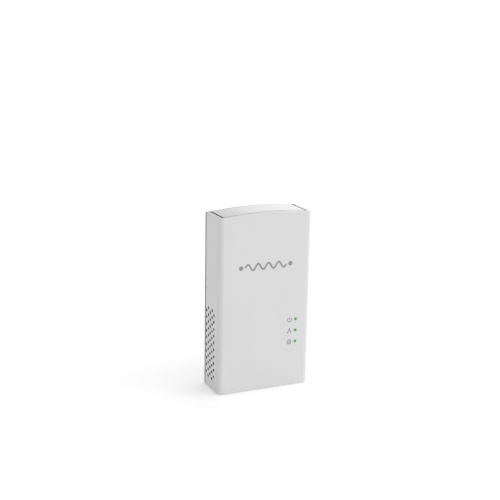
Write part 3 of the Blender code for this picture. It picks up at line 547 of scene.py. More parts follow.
def round_hole(bm, outer, inner, centre, across, inward, radius, thickness):
    """A hole through the wall, rounded at its outer rim, stitched into both faces."""
    levels = [(radius + inset, along) for along, inset in quarter(RIM_ROUND)]
    levels += [(radius, thickness - RIM_ROUND), (radius + RIM_ROUND, thickness)]
    rings = [[bm.verts.new(centre + across * u + Vector((0, 0, v)) + inward * depth)
              for u, v in circle(0.0, 0.0, size, HOLE_STEPS)] for size, depth in levels]
    stitch(bm, outer, rings[0], centre, across, OUTSIDE)
    # Past the rounded rim, the hole's wall takes the painted shade.
    for level, (first, second) in enumerate(zip(rings, rings[1:])):
        bridge(bm, first, second, side=OUTSIDE if level < EDGE_STEPS else PAINTED_SHADE)
    stitch(bm, inner, rings[-1], centre, across, PAINTED_SHADE)


def cover_holes(stations):
    """(station, low row, high row, centre, across, radius) of each hole."""
    first = EDGE_STEPS + 1
    holes = []

    def rows_round(low, high):
        below = max(k for k, z in enumerate(LEVELS) if z < low + WELD)
        above = min(k for k, z in enumerate(LEVELS) if z > high - WELD)
        return first + below, first + above

    for index, (here, following) in enumerate(zip(stations, stations[1:])):
        a, b = here[0], following[0]
        if abs(a.x) > HALF - WELD and abs(b.x) > HALF - WELD:
            for row in range(VENT_ROWS):
                y = VENT_FIRST_ROW - row * VENT_ROW_PITCH
                if not min(a.y, b.y) < y < max(a.y, b.y):
                    continue
                count = VENT_ROWS * 2 + row % 2
                for number in range(count):
                    z = VENT_MIDDLE + (number - (count - 1) / 2) * VENT_PITCH
                    rows = rows_round(z - VENT_PITCH / 2, z + VENT_PITCH / 2)
                    holes.append((index, *rows, Vector((a.x, y, z)), Vector((0, 1, 0)),
                                  VENT_RADIUS))
        elif abs((a.x + b.x) / 2 - LED_X) < WELD and a.y < INNER_FRONT:
            for z in LED_HEIGHTS:
                rows = rows_round(z - LED_HOLE - LED_ROOM, z + LED_HOLE + LED_ROOM)
                holes.append((index, *rows, Vector((LED_X, FACE, z)), Vector((1, 0, 0)),
                              LED_HOLE))
    return holes


def front_cover(*looks):
    """The bent front and side walls, with rounded edges, vents and lamp holes."""
    bm = bmesh.new()
    stations = cover_stations()
    outer_rows = wall_rows(FOOT_ROUND, TOP_ROUND)
    inner_rows = wall_rows(INSIDE_ROUND, INSIDE_ROUND)
    outer = [wall_column(bm, far, normal, outer_rows, shrink)
             for far, close, normal, shrink in stations]
    inner = [wall_column(bm, close, -normal, inner_rows, shrink)
             for far, close, normal, shrink in stations]
    open_cells = set()
    for index, low, high, centre, across, radius in cover_holes(stations):
        open_cells |= {(index, row) for row in range(low, high)}
        borders = [grid[index][low:high + 1] + grid[index + 1][low:high + 1]
                   for grid in (outer, inner)]
        far, close, normal, shrink = stations[index]
        round_hole(bm, *borders, centre, across, -normal.to_3d(), radius, (far - close).length)
    # The wall's inner face takes the painted shade.
    for side, grid in ((OUTSIDE, outer), (PAINTED_SHADE, inner)):
        for index, (a, b) in enumerate(zip(grid, grid[1:])):
            for row in range(len(a) - 1):
                if (index, row) not in open_cells:
                    face = bm.faces.new((a[row], b[row], b[row + 1], a[row + 1]))
                    face.material_index = side
    for row in (0, -1):
        bridge(bm, [column[row] for column in outer], [column[row] for column in inner], False)
    for end in (0, -1):
        bridge(bm, outer[end], inner[end], False)
    return finish_mesh("casing_front", bm, *looks)


# ---- rear cover

CARRIER_LOW, CARRIER_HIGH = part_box("plug_carrier")
CARRIER_FLANGE = 2.8 * MM
NOSE_HALF = CARRIER_HIGH.x - CARRIER_FLANGE
NOSE_CORNER = 2.8 * MM
LABEL_LOW, LABEL_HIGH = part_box("rating_label")
LABEL_RECESS = 0.5 * MM
LABEL_CORNER = 1.5 * MM
JACK_LOW, JACK_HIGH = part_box("rj45_shield")
JACK_CORNER = 0.5 * MM
HOLE_ROOM = 0.3 * MM  # room round the jack and the button in their openings
BUTTON_LOW, BUTTON_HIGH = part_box("pairing_button")
BUTTON_GROW = 0.9 * MM  # flange of the button past its cap
RESET_LOW, RESET_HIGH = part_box("reset_plunger")
RESET_X = (RESET_LOW.x + RESET_HIGH.x) / 2
SWITCH_Y = (RESET_LOW.y + RESET_HIGH.y) / 2
PINHOLE = 0.9 * MM  # radius
SCREWS = [f"cover_screw_{number}" for number in range(1, 5)]
SCREW_RECESS = 2.7 * MM  # radius
SCREW_RECESS_DEPTH = 2.3 * MM
SCREW_CLEARANCE = 1.5 * MM  # radius of the hole through the boss
BOSS_RADIUS = 3.0 * MM
BOSS_END = -4.6 * MM
ARCH_STEPS = 24  # columns of faces across the arch


def centre_of(node):
    """The middle of a CAD node's box."""
    low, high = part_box(node)
    return (low + high) / 2


def rear_skin():
    """The rear plate with the top and bottom panels, as one closed skin."""
    bm = bmesh.new()
    xs = [PANEL_HALF * (2 * k / ARCH_STEPS - 1) for k in range(ARCH_STEPS + 1)]
    sides = [PANEL_HALF + (HALF - PANEL_HALF) * k / 2 for k in (1, 2)]

    def plate(x):
        return [(x, 0.0, BOTTOM), (x, 0.0, top_height(x, 0.0)),
                (x, -RIM, top_height(x, -RIM)), (x, -RIM, BOTTOM)]

    def tray(x):
        front_top, rear_top = top_height(x, PANEL_FRONT), top_height(x, -REAR_WALL)
        line_top, line_end = top_height(x, -RIM), -RIM - SHADOW_LINE
        return [(x, -RIM, line_top - SHADOW_DEPTH), (x, line_end, line_top - SHADOW_DEPTH),
                (x, line_end, top_height(x, line_end)),
                (x, PANEL_FRONT, front_top), (x, PANEL_FRONT, front_top - PANEL_WALL),
                (x, -REAR_WALL, rear_top - PANEL_WALL), (x, -REAR_WALL, FLOOR_TOP),
                (x, PANEL_FRONT, FLOOR_TOP), (x, PANEL_FRONT, BOTTOM),
                (x, line_end, BOTTOM), (x, line_end, BOTTOM + SHADOW_DEPTH),
                (x, -RIM, BOTTOM + SHADOW_DEPTH)]

    inner = []
    for x in xs:
        rim = [bm.verts.new(p) for p in plate(x)]
        inner.append(rim[:3] + [bm.verts.new(p) for p in tray(x)] + rim[3:])
    for first, second in zip(inner, inner[1:]):
        bridge(bm, first, second)
    for side, column in ((-1, inner[0]), (1, inner[-1])):
        # The panel's end faces in the side grooves take the painted shade.
        bm.faces.new(column[3:-1]).material_index = PAINTED_SHADE
        last, front = column[-1:] + column[:3], column[2:4] + column[-2:]
        for x in sides:
            rim = [bm.verts.new(p) for p in plate(side * x)]
            around = rim[-1:] + rim[:3]
            bridge(bm, last, around, closed=False)
            bm.faces.new(front + [rim[3], rim[2]])
            last, front = around, rim[2:]
        bm.faces.new(last)
    bmesh.ops.recalc_face_normals(bm, faces=bm.faces)
    # Faces that look into the casing or into a gap take the painted shade.
    for face in bm.faces:
        if faces_in(face.calc_center_median(), face.normal):
            face.material_index = PAINTED_SHADE
    soften(bm, REAR_ROUND, 4, lambda e: all(v.co.y > -WELD for v in e.verts))
    soften(bm, PANEL_ROUND, 3)
    return bm


def faces_in(centre, normal):
    """Whether a face of the rear cover looks into the casing or into a gap, and so takes the
    painted shade.
    """
    if normal.y < -0.5 or -RIM - SHADOW_LINE - WELD < centre.y < -RIM + WELD:
        return True
    top = centre.z > (BOTTOM + CROWN) / 2
    return centre.y < -RIM and abs(normal.z) > 0.5 and (normal.z > 0) != top


def stadium(room):
    """The pairing button's round-ended outline, this much larger all round."""
    half = (BUTTON_HIGH.y - BUTTON_LOW.y) / 2 - BUTTON_GROW
    reach = (BUTTON_HIGH.x - BUTTON_LOW.x) / 2 - BUTTON_GROW - half
    middle = centre_of("pairing_button")
    return (arc((middle.x + reach, middle.y), half + room, -90, 90, 14)
            + arc((middle.x - reach, middle.y), half + room, 90, 270, 14))


def nose(room):
    """The outline of the plug carrier's nose, this much larger all round."""
    half, middle = NOSE_HALF + room, (CARRIER_LOW.z + CARRIER_HIGH.z) / 2
    return rounded((-half, half), (middle - half, middle + half), NOSE_CORNER + room)


def rear_cover(*looks):
    """The rear skin with its screw bosses, recesses and openings."""
    cover = finish_mesh("casing_rear", rear_skin(), *looks)
    spots = [centre_of(name) for name in SCREWS]
    bosses = [cutter(circle(c.x, c.z, BOSS_RADIUS), Y, (BOSS_END, -REAR_WALL / 2)) for c in spots]
    cover = carve(cover, bosses, operation="UNION")
    label = seen_along(Y, LABEL_LOW, LABEL_HIGH, GAP, LABEL_CORNER)
    jack = seen_along(Z, JACK_LOW, JACK_HIGH, HOLE_ROOM, JACK_CORNER, 4)
    cuts = [flared_cutter(nose(GAP), Y, -REAR_WALL - PAST, 0.0),
            flared_cutter(label, Y, -LABEL_RECESS, 0.0)]
    cuts += [flared_cutter(circle(c.x, c.z, SCREW_RECESS, 40), Y, -SCREW_RECESS_DEPTH, 0.0)
             for c in spots]
    cover = carve(cover, cuts)
    cuts = [cutter(circle(c.x, c.z, SCREW_CLEARANCE, 24), Y, (BOSS_END - PAST, PAST))
            for c in spots]
    cuts += [flared_cutter(outline, Z, FLOOR_TOP + PAST, BOTTOM)
             for outline in (jack, stadium(HOLE_ROOM), circle(RESET_X, SWITCH_Y, PINHOLE, 28))]
    return carve(cover, cuts)


# ---- screws

HEAD_HEIGHT = 1.6 * MM
HEAD_EDGE = 0.6 * MM  # height of the head's upright edge
SHANK_RADIUS = 1.1 * MM
SHANK_POINT = 1.0 * MM
THREAD_PITCH = 0.8 * MM
THREAD_TURNS = 9
THREAD_DEPTH = 0.25 * MM
CROSS_ARM = 1.25 * MM
CROSS_HALF = 0.3 * MM  # half the width of an arm
CROSS_DEPTH = 1.0 * MM


def cover_screw(node, look):
    """A pan-head screw with a cross recess."""
    low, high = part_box(node)
    centre = (low + high) / 2
    head = (high.x - low.x) / 2
    under = high.y - HEAD_HEIGHT
    edge = under + HEAD_EDGE
    start = low.y + SHANK_POINT
    root = SHANK_RADIUS - THREAD_DEPTH
    profile = [(0.0, low.y), (SHANK_RADIUS * 0.4, low.y + 0.1 * MM), (SHANK_RADIUS, start)]
    for turn in range(THREAD_TURNS):
        profile += [(radius, start + (turn + share) * THREAD_PITCH)
                    for radius, share in ((root, 0.2), (root, 0.6), (SHANK_RADIUS, 0.9))]
    profile += [(SHANK_RADIUS - 0.1 * MM, under), (head - 0.1 * MM, under),
                (head, under + 0.12 * MM)]
    profile += [(head * u, edge + (high.y - edge) * v) for u, v in arc((0.0, 0.0), 1.0, 0, 75, 5)]
    profile.append((0.0, high.y))
    screw = lathe(node + "_body", profile, (centre.x, 0.0, centre.z), Y, look, steps=32)
    arm = [(CROSS_HALF, CROSS_HALF), (CROSS_HALF, CROSS_ARM), (-CROSS_HALF, CROSS_ARM)]
    cross = []
    for quarters in range(4):
        turn = Matrix.Rotation(radians(20 + 37 * SCREWS.index(node) + 90 * quarters), 2)
        cross += [Vector((centre.x, centre.z)) + turn @ Vector(point) for point in arm]
    return carve(screw, [cutter(cross, Y, (high.y - CROSS_DEPTH, high.y + PAST))])


# ---- plug

BLADE_TAIL = 2.0 * MM  # half height behind the carrier
BLADE_TIP = ((2.0, 0.0), (1.2, 0.28), (0.5, 0.775), (0.15, 1.125), (0.0, 1.475))
BLADE_ROUND = 0.28 * MM
DETENT_RADIUS = 1.6 * MM
DETENT_FROM_TIP = 5.0 * MM
PIN_CHAMFER = 0.2 * MM
PIN_STEP = 0.06 * MM  # the pin narrows this much where its round tip starts
PIN_STEP_LENGTH = 0.4 * MM
CARRIER_ROUND = 0.25 * MM
CARRIER_FIT = 0.15 * MM  # room round the blades and the pin


def blade(node, look):
    """A flat blade with rolled edges, a tapered tip and a detent hole."""
    low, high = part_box(node)
    centre = (low + high) / 2
    half = (high.z - low.z) / 2
    carrier_back = CARRIER_LOW.y + GAP
    side = [(low.y, BLADE_TAIL), (carrier_back, BLADE_TAIL), (carrier_back, half)]
    side += [(high.y - back * MM, half - narrower * MM) for back, narrower in BLADE_TIP]
    outline = [(y, centre.z + z) for y, z in side]
    outline += [(y, centre.z - z) for y, z in reversed(side)]
    piece = slab(node + "_body", outline, X, (low.x, high.x), look)
    hole = cutter(circle(high.y - DETENT_FROM_TIP, centre.z, DETENT_RADIUS, 36), X,
                  (low.x - PAST, high.x + PAST))
    return carve(piece, [hole], BLADE_ROUND, 4)


def ground_pin(look):
    """A round pin with a domed tip."""
    low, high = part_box("ground_pin")
    centre = (low + high) / 2
    radius = (high.x - low.x) / 2
    neck = high.y - radius
    profile = [(0.0, low.y), (radius - PIN_CHAMFER, low.y), (radius, low.y + PIN_CHAMFER),
               (radius, neck - PIN_STEP_LENGTH)]
    profile += [((radius - PIN_STEP) * u, neck + radius * v)
                for u, v in arc((0.0, 0.0), 1.0, 0, 81, 9)]
    profile.append((0.0, high.y))
    return lathe("ground_pin_body", profile, (centre.x, 0.0, centre.z), Y, look, steps=56)


def plug_carrier(look):
    """The moulded block behind the pins, its nose flush with the rear face."""
    flange = seen_along(Y, CARRIER_LOW, CARRIER_HIGH, 0.0, NOSE_CORNER + GAP)
    shoulder = -REAR_WALL - GAP
    piece = slab("plug_carrier_body", flange, Y, (CARRIER_LOW.y, shoulder), look)
    piece = carve(piece, [cutter(nose(0.0), Y, (shoulder - PAST, 0.0))], operation="UNION")
    through = (CARRIER_LOW.y - PAST, PAST)
    cuts = []
    for node in ("line_blade", "neutral_blade"):
        cuts.append(cutter(seen_along(Y, *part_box(node), CARRIER_FIT, 0.35 * MM, 4), Y, through))
    low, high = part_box("ground_pin")
    pin = (low + high) / 2
    radius = (high.x - low.x) / 2 + CARRIER_FIT
    cuts.append(cutter(circle(pin.x, pin.z, radius, 40), Y, through))
    return carve(piece, cuts, CARRIER_ROUND, 4)


# ---- small parts

LABEL_ROUND = 0.04 * MM
SHIELD_WALL = 0.3 * MM
SHIELD_FOLD = 0.3 * MM  # rounding at its closed end
JACK_ROUND = 0.3 * MM
# The jack's cavity, from its contacts to its latch: (half width, where the step ends) in
# millimetres.
CAVITY = ((5.95, -6.6), (3.1, -5.2), (2.0, -4.75))
CONTACT_BEND = 0.42 * MM  # radius of the fold
CONTACT_FALL = 0.9 * MM  # how far above its foot a contact starts to bend
CONTACT_TIP = 4.1 * MM  # how far below its top the sprung end stops
CAP_ROUND = 0.5 * MM
# The button's dished face: (in from its edge, above its lowest point) in millimetres.
CAP_DISH = ((1.0, 0.12), (0.72, 0.05))
FLANGE_RISE = 0.3 * MM  # room between the floor and the button's flange
PIPE_ROOM = 0.12 * MM  # room round a clear tip in its hole
PIPE_BAR = 0.3 * MM  # room between the front wall and the bar
# A clear tip's dome: (share of its radius, below the face in millimetres).
PIPE_DOME = ((1.0, 0.12), (0.9, 0.05), (0.6, 0.01), (0.3, 0.0), (0.0, 0.0))


def rating_label(look):
    """A satin film label in its recess."""
    outline = seen_along(Y, LABEL_LOW, LABEL_HIGH, 0.0, LABEL_CORNER - GAP)
    return slab("rating_label_film", outline, Y, (LABEL_LOW.y, LABEL_HIGH.y), look,
                high_round=LABEL_ROUND, steps=2)


def jack_shield(look):
    """A folded steel box, open at the mouth."""
    outline = seen_along(Z, JACK_LOW, JACK_HIGH, 0.0, JACK_CORNER, 5)
    shield = slab("rj45_shield_body", outline, Z, (JACK_LOW.z, JACK_HIGH.z), look,
                  high_round=SHIELD_FOLD)
    inside = seen_along(Z, JACK_LOW, JACK_HIGH, -SHIELD_WALL, JACK_CORNER / 2, 4)
    room = cutter(inside, Z, (JACK_LOW.z - PAST, JACK_HIGH.z - SHIELD_WALL))
    return carve(shield, [room], 0.1 * MM, 2)


def jack_housing(look):
    """The moulded insert, with the cavity and the latch's stepped keyway."""
    low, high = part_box("rj45_housing")
    middle = (low.x + high.x) / 2
    contact_low, contact_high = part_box("rj45_contact_1")
    housing = slab("rj45_housing_body", seen_along(Z, low, high, 0.0, JACK_ROUND, 4), Z,
                   (low.z, high.z), look)
    side, start = [], contact_low.y - GAP
    for half, end in CAVITY:
        side += [(half * MM, start), (half * MM, end * MM)]
        start = end * MM
    outline = [(middle + u, v) for u, v in side]
    outline += [(middle - u, v) for u, v in reversed(side)]
    cavity = cutter(outline, Z, (low.z - PAST, contact_high.z + GAP))
    return carve(housing, [cavity], JACK_ROUND, 3)


def jack_contact(node, look):
    """A sprung gold wire that folds back up into the cavity."""
    low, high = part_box(node)
    middle = (low.x + high.x) / 2
    radius = (high.x - low.x) / 2
    wall, foot = low.y + radius, low.z + radius
    path = [(wall, high.z), (wall, foot + CONTACT_FALL)]
    path += arc((wall + CONTACT_BEND, foot + CONTACT_BEND), CONTACT_BEND, 180, 350, 12)
    path.append((high.y - radius, high.z - CONTACT_TIP))
    bm = bmesh.new()
    loops = []
    for k, point in enumerate(path):
        before, after = Vector(path[max(k - 1, 0)]), Vector(path[min(k + 1, len(path) - 1)])
        way = (after - before).normalized()
        across = Vector((way.y, -way.x))
        loops.append([(middle + u, point[0] + across.x * v, point[1] + across.y * v)
                      for u, v in circle(0.0, 0.0, radius, 12)])
    loft(bm, loops)
    return finish_mesh(node + "_wire", bm, look)


def pairing_button(look):
    """The cap with its slightly dished face, and the flange that keeps it in."""
    low, top = BUTTON_LOW.z, BUTTON_HIGH.z
    under, edge = FLOOR_TOP + FLANGE_RISE, 0.1 * MM
    layers = [(inset * MM, low + rise * MM) for inset, rise in CAP_DISH]
    layers += [(CAP_ROUND * (1 - v), low + CAP_ROUND * (1 - u))
               for u, v in arc((0.0, 0.0), 1.0, 0, 90, 5)]
    layers += [(0.0, under - 0.15 * MM), (-edge, under), (-BUTTON_GROW + edge, under),
               (-BUTTON_GROW, under + edge), (-BUTTON_GROW, top - edge),
               (-BUTTON_GROW + edge, top)]
    bm = bmesh.new()
    loft(bm, [[(u, v, z) for u, v in stadium(-inset)] for inset, z in layers])
    return finish_mesh("pairing_button_cap", bm, look)


def light_pipe(look):
    """The clear bar behind the front wall, with a domed tip in each lamp hole."""
    low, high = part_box("light_pipe")
    radius = LED_HOLE - PIPE_ROOM
    bar_low = INNER_FRONT + PIPE_BAR
    root = bar_low + 0.4 * MM
    bar = slab("light_pipe_body", seen_along(Y, low, high, 0.0, 0.4 * MM, 5), Y,
               (bar_low, high.y), look, low_round=0.15 * MM, high_round=0.15 * MM, steps=3)
    profile = [(0.0, root), (radius, root)]
    profile += [(radius * share, FACE + below * MM) for share, below in PIPE_DOME]
    arms = [lathe("arm", profile, (LED_X, 0.0, z), Y, steps=28) for z in LED_HEIGHTS]
    return carve(bar, arms, operation="UNION")


# ---- printed marks

def ribbon(bm, points, width, closed=False):
    """A flat printed line of this width through points of the front face."""
    points = [Vector(point) for point in points]
    leaving = [(b - a).normalized() for a, b in zip(points, points[1:] + points[:1])]
    coming = leaving[-1:] + leaving[:-1]
    if not closed:
        coming[0], leaving[-1] = leaving[0], leaving[-2]
    rings = []
    for here, before, after in zip(points, coming, leaving):
        middle = Vector((before.y + after.y, -before.x - after.x))
        reach = middle * (width / max(middle.length_squared, 0.4))
        a, b = here + reach, here - reach
        rings.append([(a.x, FRONT, a.y), (b.x, FRONT, b.y), (b.x, FACE, b.y), (a.x, FACE, a.y)])
    loft(bm, rings, closed)


def spot(bm, u, v, radius, steps=24):
    """A flat printed dot on the front face."""
    add_slab(bm, circle(u, v, radius, steps), Y, (FRONT, FACE))


ICON_X = LED_X - 3.75 * MM
ICON_LINE = 0.4 * MM
ICON_GAP = 0.12 * MM  # between a node of the network icon and its line
ICON_RING = 1.2 * MM
NODE_RADIUS = 0.42 * MM
MARK_Z = -7.1 * MM
MARK_HALF = 12.4 * MM  # half the wave's length
MARK_HEIGHT = 1.75 * MM  # half its height
MARK_WAVES = 4
MARK_STEPS = 96
MARK_LINE = 0.95 * MM
MARK_SPOT = 1.3 * MM
MARK_SPOT_GAP = 2.5 * MM  # from the wave's end to a spot's middle


def power_icon(look):
    """A ring with a bar through the gap at its top."""
    bm = bmesh.new()
    z = LED_HEIGHTS[0] - 0.05 * MM
    ribbon(bm, arc((ICON_X, z), ICON_RING, 125, 415, 36), ICON_LINE)
    ribbon(bm, [(ICON_X, z + 0.15 * MM), (ICON_X, z + 1.55 * MM)], ICON_LINE)
    return finish_mesh("icon_power", bm, look)


def network_icon(look):
    """Three nodes joined by two lines, which stop just short of them."""
    bm = bmesh.new()
    z = LED_HEIGHTS[1] + 0.1 * MM
    head, *feet = [Vector((ICON_X + u * MM, z + v * MM))
                   for u, v in ((0.0, 1.0), (-0.92, -1.1), (0.92, -1.1))]
    for node in (head, *feet):
        spot(bm, node.x, node.y, NODE_RADIUS)
    for foot in feet:
        room = (head - foot).normalized() * (NODE_RADIUS + ICON_GAP)
        ribbon(bm, [foot + room, head - room], ICON_LINE)
    return finish_mesh("icon_network", bm, look)


def house_icon(look):
    """A house outline round a plug on its lead."""
    bm = bmesh.new()
    z = LED_HEIGHTS[2] + 0.1 * MM
    outline = [(-1.0, -1.3), (1.0, -1.3), (1.0, 0.4), (0.0, 1.4), (-1.0, 0.4)]
    for line in (outline, [(-0.45, 0.05), (0.45, 0.05)], [(0.0, -0.3), (0.0, -0.85)]):
        ribbon(bm, [(ICON_X + u * MM, z + v * MM) for u, v in line], ICON_LINE,
               closed=line is outline)
    return finish_mesh("icon_house", bm, look)


def wave_mark(look):
    """A plain wave between two spots."""
    bm = bmesh.new()
    steps = [2 * MARK_HALF * k / MARK_STEPS for k in range(MARK_STEPS + 1)]
    ribbon(bm, [(along - MARK_HALF, MARK_Z + MARK_HEIGHT * sin(pi * MARK_WAVES * along / MARK_HALF))
                for along in steps], MARK_LINE)
    for side in (-1, 1):
        spot(bm, side * (MARK_HALF + MARK_SPOT_GAP), MARK_Z, MARK_SPOT, 36)
    return finish_mesh("front_mark", bm, look)


# ---- looks of the inner parts

def board_look(name, colour):
    """Solder mask over faint copper tracks."""
    tree = material_tree(name)
    tracks = tree.add("TexBrick", {"Scale": 0.35, "Mortar Size": 0.03, "Brick Width": 0.8,
                                   "Vector": tree.space})
    blend = tree.mix(tree.fit(tree.noise(5.0), 0.0, 1.0), shaded(colour, 0.85),
                     shaded(colour, 1.3))
    tree.feed("Base Color", tree.mix(tracks.outputs["Fac"], blend, shaded(colour, 1.8)))
    tree.feed("Roughness", tree.fit(tree.noise(1.0), 0.3, 0.5))
    tree.bump([(tracks.outputs["Fac"], 0.02), (tree.noise(0.3), 0.002)])
    return tree.owner


def wound_look(name, colour, pitch):
    """Turns of wire or tape, side by side along Z."""
    tree = material_tree(name)
    turns = tree.add("TexWave", {"Scale": 0.314 / pitch, "Distortion": 0.4,
                                 "Vector": tree.space})
    turns.bands_direction = "Z"
    # Painted shade: each turn is darker towards the grooves between the turns.
    tree.feed("Base Color", tree.mix(turns.outputs["Fac"], shaded(colour, 0.55), colour))
    tree.feed("Roughness", tree.fit(tree.noise(0.8), 0.25, 0.5))
    tree.bump([(turns.outputs["Fac"], 0.12), (tree.noise(0.2), 0.004)])
    return tree.owner


def inner_looks():
    """A material for each of the record's slots that an inner CAD node uses."""
    return {
        "plug_plastic": moulded("moulded_block", (0.60, 0.60, 0.585), 0.42, 0.3, 0.003),
        "nickel": metal("nickel_plate", (0.70, 0.68, 0.64), 0.24, (1.0, 0.08, 1.0), 0.12, 0.0015),
        "gold": metal("gold_plate", (0.86, 0.62, 0.24), 0.22, (1.0, 1.0, 0.1), 0.1),
        "tinned_steel": metal("tin_plate", (0.62, 0.63, 0.64), 0.34, (1.0, 1.0, 0.2), 0.25, 0.002),
        "screw_steel": metal("zinc_plate", (0.42, 0.43, 0.45), 0.36, (1.0, 1.0, 1.0), 0.2),
        "aluminium": metal("brushed_alloy", (0.66, 0.67, 0.68), 0.4, (1.0, 1.0, 0.05), 0.12, 0.004),
        "white_satin": moulded("satin_white", (0.72, 0.72, 0.715), 0.38, 0.2, 0.002),
        "board_green": board_look("solder_mask", (0.015, 0.13, 0.05)),
        "black_plastic": moulded("black_nylon", (0.018, 0.018, 0.02), 0.46, 0.18, 0.004, 0.1),
        "chip_black": moulded("epoxy", (0.03, 0.03, 0.034), 0.55, 0.08, 0.004, 0.15),
        "ferrite": moulded("ferrite_grey", (0.055, 0.055, 0.06), 0.62, 0.12, 0.012, 0.2),
        "winding_tape": wound_look("yellow_tape", (0.72, 0.53, 0.06), 2.4),
        "copper_wire": wound_look("enamelled_wire", (0.55, 0.19, 0.06), 0.45),
        "capacitor_sleeve": moulded("shrink_sleeve", (0.015, 0.03, 0.09), 0.3, 0.6, 0.003, 0.1),
        "film_yellow": moulded("film_case", (0.72, 0.52, 0.06), 0.36, 0.3, 0.003, 0.05),
        "disc_blue": moulded("dipped_epoxy", (0.04, 0.15, 0.45), 0.4, 0.5, 0.01, 0.08),
        "fuse_brown": moulded("fuse_body", (0.16, 0.07, 0.035), 0.35, 0.4, 0.003, 0.1),
        "lead_black": moulded("lead_black_pvc", (0.02, 0.02, 0.02), 0.5, 0.3, 0.004, 0.1),
        "lead_white": moulded("lead_white_pvc", (0.7, 0.7, 0.67), 0.5, 0.3, 0.004),
        "lead_green": moulded("lead_green_pvc", (0.02, 0.26, 0.07), 0.5, 0.3, 0.004, 0.08),
        "insulation": moulded("fibre_sheet", (0.78, 0.77, 0.7), 0.55, 0.1, 0.006, 0.04),
        "thermal_pad": moulded("gap_filler", (0.36, 0.47, 0.55), 0.75, 0.15, 0.012, 0.06),
        "led_green": glowing("led_chip", (0.3, 0.8, 0.35), (0.1, 1.0, 0.2), 1.5),
    }


# ---- pieces on their bodies

def put(piece, slot, *nodes, body="case"):
    """Ride a piece on its body, in place of CAD nodes. The slot is not used."""
    if nodes:
        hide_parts(*nodes)
    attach(piece, body)


def build():
    """Every piece, and a material for each CAD node that stays."""
    looks = inner_looks()
    white = moulded("casing_white", (0.732, 0.732, 0.732), 0.17, 0.3, 0.0002, 0.008, 0.025,
                    lamps=[(LED_X, FACE, z) for z in LED_HEIGHTS])
    # Painted shade: near-black on the casing's inner faces, gaps, vents and lamp holes, where the
    # white plastic lies in shadow.
    shade = moulded("casing_painted_shade", (0.016, 0.016, 0.017), 0.7, 0.3, 0.001, 0.03, gloss=0.1)
    ink = moulded("grey_ink", (0.22, 0.22, 0.235), 0.5, 0.15, 0.001, 0.05)
    pale_ink = moulded("pale_ink", (0.29, 0.29, 0.31), 0.5, 0.15, 0.001, 0.05)
    lit = glowing("lamp_green", (0.05, 0.15, 0.05), (0.26, 0.56, 0.22), 0.22)
    film = moulded("label_film", (0.52, 0.53, 0.54), 0.42, 0.12, 0.001, 0.02)
    put(front_cover(white, shade), "white_gloss", "front_cover")
    put(rear_cover(white, shade), "white_gloss", "rear_cover")
    put(plug_carrier(looks["plug_plastic"]), "plug_plastic", "plug_carrier")
    for node in ("line_blade", "neutral_blade"):
        put(blade(node, looks["nickel"]), "nickel", node)
    put(ground_pin(looks["nickel"]), "nickel", "ground_pin")
    for node in SCREWS:
        put(cover_screw(node, looks["screw_steel"]), "screw_steel", node)
    put(rating_label(film), "label_silver", "rating_label")
    put(jack_shield(looks["tinned_steel"]), "tinned_steel", "rj45_shield")
    put(jack_housing(looks["black_plastic"]), "black_plastic", "rj45_housing")
    for number in range(1, 9):
        node = f"rj45_contact_{number}"
        put(jack_contact(node, looks["gold"]), "gold", node)
    put(pairing_button(looks["white_satin"]), "white_satin", "pairing_button",
        body="pairing_button")
    put(light_pipe(lit), "clear_plastic", "light_pipe")
    for mark in (power_icon(ink), network_icon(ink), house_icon(ink), wave_mark(pale_ink)):
        put(mark, "label_silver")
    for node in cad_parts.values():
        if not node.hide_render:
            for slot in node.material_slots:
                slot.material = looks[slot.material.name.split(".")[0]]


# ---- camera, light and floor

CAMERA_PLACE = (-0.26225, -0.57838, 0.17485)
CAMERA_TURN = (24.36, 15.69, 1.01)  # degrees to the right of +Y, down, and clockwise
CAMERA_LENS = 84.245  # millimetres, on a 36 mm wide sensor


def heading(azimuth, elevation):
    """The direction this many degrees from +Y towards +X, and up from level."""
    turn, lift = radians(azimuth), radians(elevation)
    return Vector((sin(turn) * cos(lift), cos(turn) * cos(lift), sin(lift)))


def add_camera():
    """The camera, to the left of the adapter and a little above it."""
    azimuth, fall, clockwise = CAMERA_TURN
    ahead, roll = heading(azimuth, -fall), radians(clockwise)
    right = ahead.cross(Vector((0.0, 0.0, 1.0))).normalized()
    up = right.cross(ahead)
    across = cos(roll) * right + sin(roll) * up
    upward = cos(roll) * up - sin(roll) * right
    data = bpy.data.cameras.new("camera")
    data.lens = CAMERA_LENS
    data.sensor_width = 36.0
    data.clip_start = 0.01
    data.clip_end = 100.0
    camera = stand("camera", data)
    turn = Matrix((across, upward, -ahead)).transposed().to_4x4()
    camera.matrix_world = Matrix.Translation(CAMERA_PLACE) @ turn
    bpy.context.scene.camera = camera


SKY_LEVEL = 0.19  # its strength at the level of the eye
SKY_SLOPE = (0.44, -0.18, 1.04)  # how much brighter the sky is to +X, +Y and +Z
SKY_LOWEST = 0.06
FLOOR_GLOW = 0.22  # lifts the floor to white, as a lit table would be
FLOOR_RADIUS = 8.0
SOFTBOX_DISTANCE = 1.3
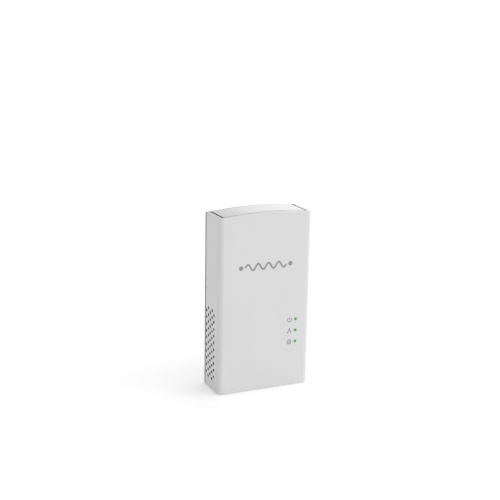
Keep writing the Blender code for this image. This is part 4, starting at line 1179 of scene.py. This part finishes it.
# Name, degrees from +Y towards +X, elevation, (width, height) in metres, radiance.
SOFTBOXES = (
    ("back_box", 30.0, 8.4, (0.6, 0.32), 0.90),
    ("right_box", 118.0, 20.0, (0.5, 0.8), 1.55),
)


def add_softbox(name, azimuth, elevation, size, radiance):
    """A soft lamp on a circle round the adapter, aimed at its middle."""
    away = heading(azimuth, elevation)
    data = bpy.data.lights.new(name, "AREA")
    data.shape = "RECTANGLE"
    data.size, data.size_y = size
    data.energy = radiance * pi * size[0] * size[1]
    lamp = stand(name, data)
    lamp.location = (cad_box[0] + cad_box[1]) / 2 + away * SOFTBOX_DISTANCE
    lamp.rotation_mode = "QUATERNION"
    lamp.rotation_quaternion = away.to_track_quat("Z", "Y")


def add_floor():
    """A wide pale floor just under the object."""
    bm = bmesh.new()
    bmesh.ops.create_circle(bm, cap_ends=True, segments=96, radius=FLOOR_RADIUS)
    mesh = bpy.data.meshes.new("floor")
    bm.to_mesh(mesh)
    bm.free()
    floor = stand("floor", mesh)
    floor.location.z = cad_box[0].z
    tree = material_tree("floor_pale")
    tree.feed("Base Color", tree.mix(tree.fit(tree.noise(90.0), 0.0, 1.0), (0.90, 0.90, 0.90),
                                     (0.92, 0.92, 0.92)))
    tree.feed("Roughness", 0.85)
    tree.feed("Emission Color", (1.0, 1.0, 1.0))
    tree.feed("Emission Strength", FLOOR_GLOW)
    mesh.materials.append(tree.owner)


def add_light():
    """A soft sky, brightest overhead and dimmer to the left, and two softboxes."""
    world = bpy.data.worlds.new("studio")
    bpy.context.scene.world = world
    sky = Tree(world, "Background", "Generated", 1.0)
    slope = sky.add("VectorMath", {0: sky.space, 1: SKY_SLOPE}, "DOT_PRODUCT")
    level = sky.add("Math", {0: slope.outputs["Value"], 1: SKY_LEVEL}, "ADD")
    lowest = sky.add("Math", {0: level.outputs["Value"], 1: SKY_LOWEST}, "MAXIMUM")
    sky.feed("Strength", lowest.outputs["Value"])
    sky.feed("Color", (1.0, 1.0, 1.0))
    for name, azimuth, elevation, size, radiance in SOFTBOXES:
        add_softbox(name, azimuth, elevation, size, radiance)
    bpy.context.scene.view_settings.view_transform = "Standard"


build()
add_floor()
add_light()
add_camera()
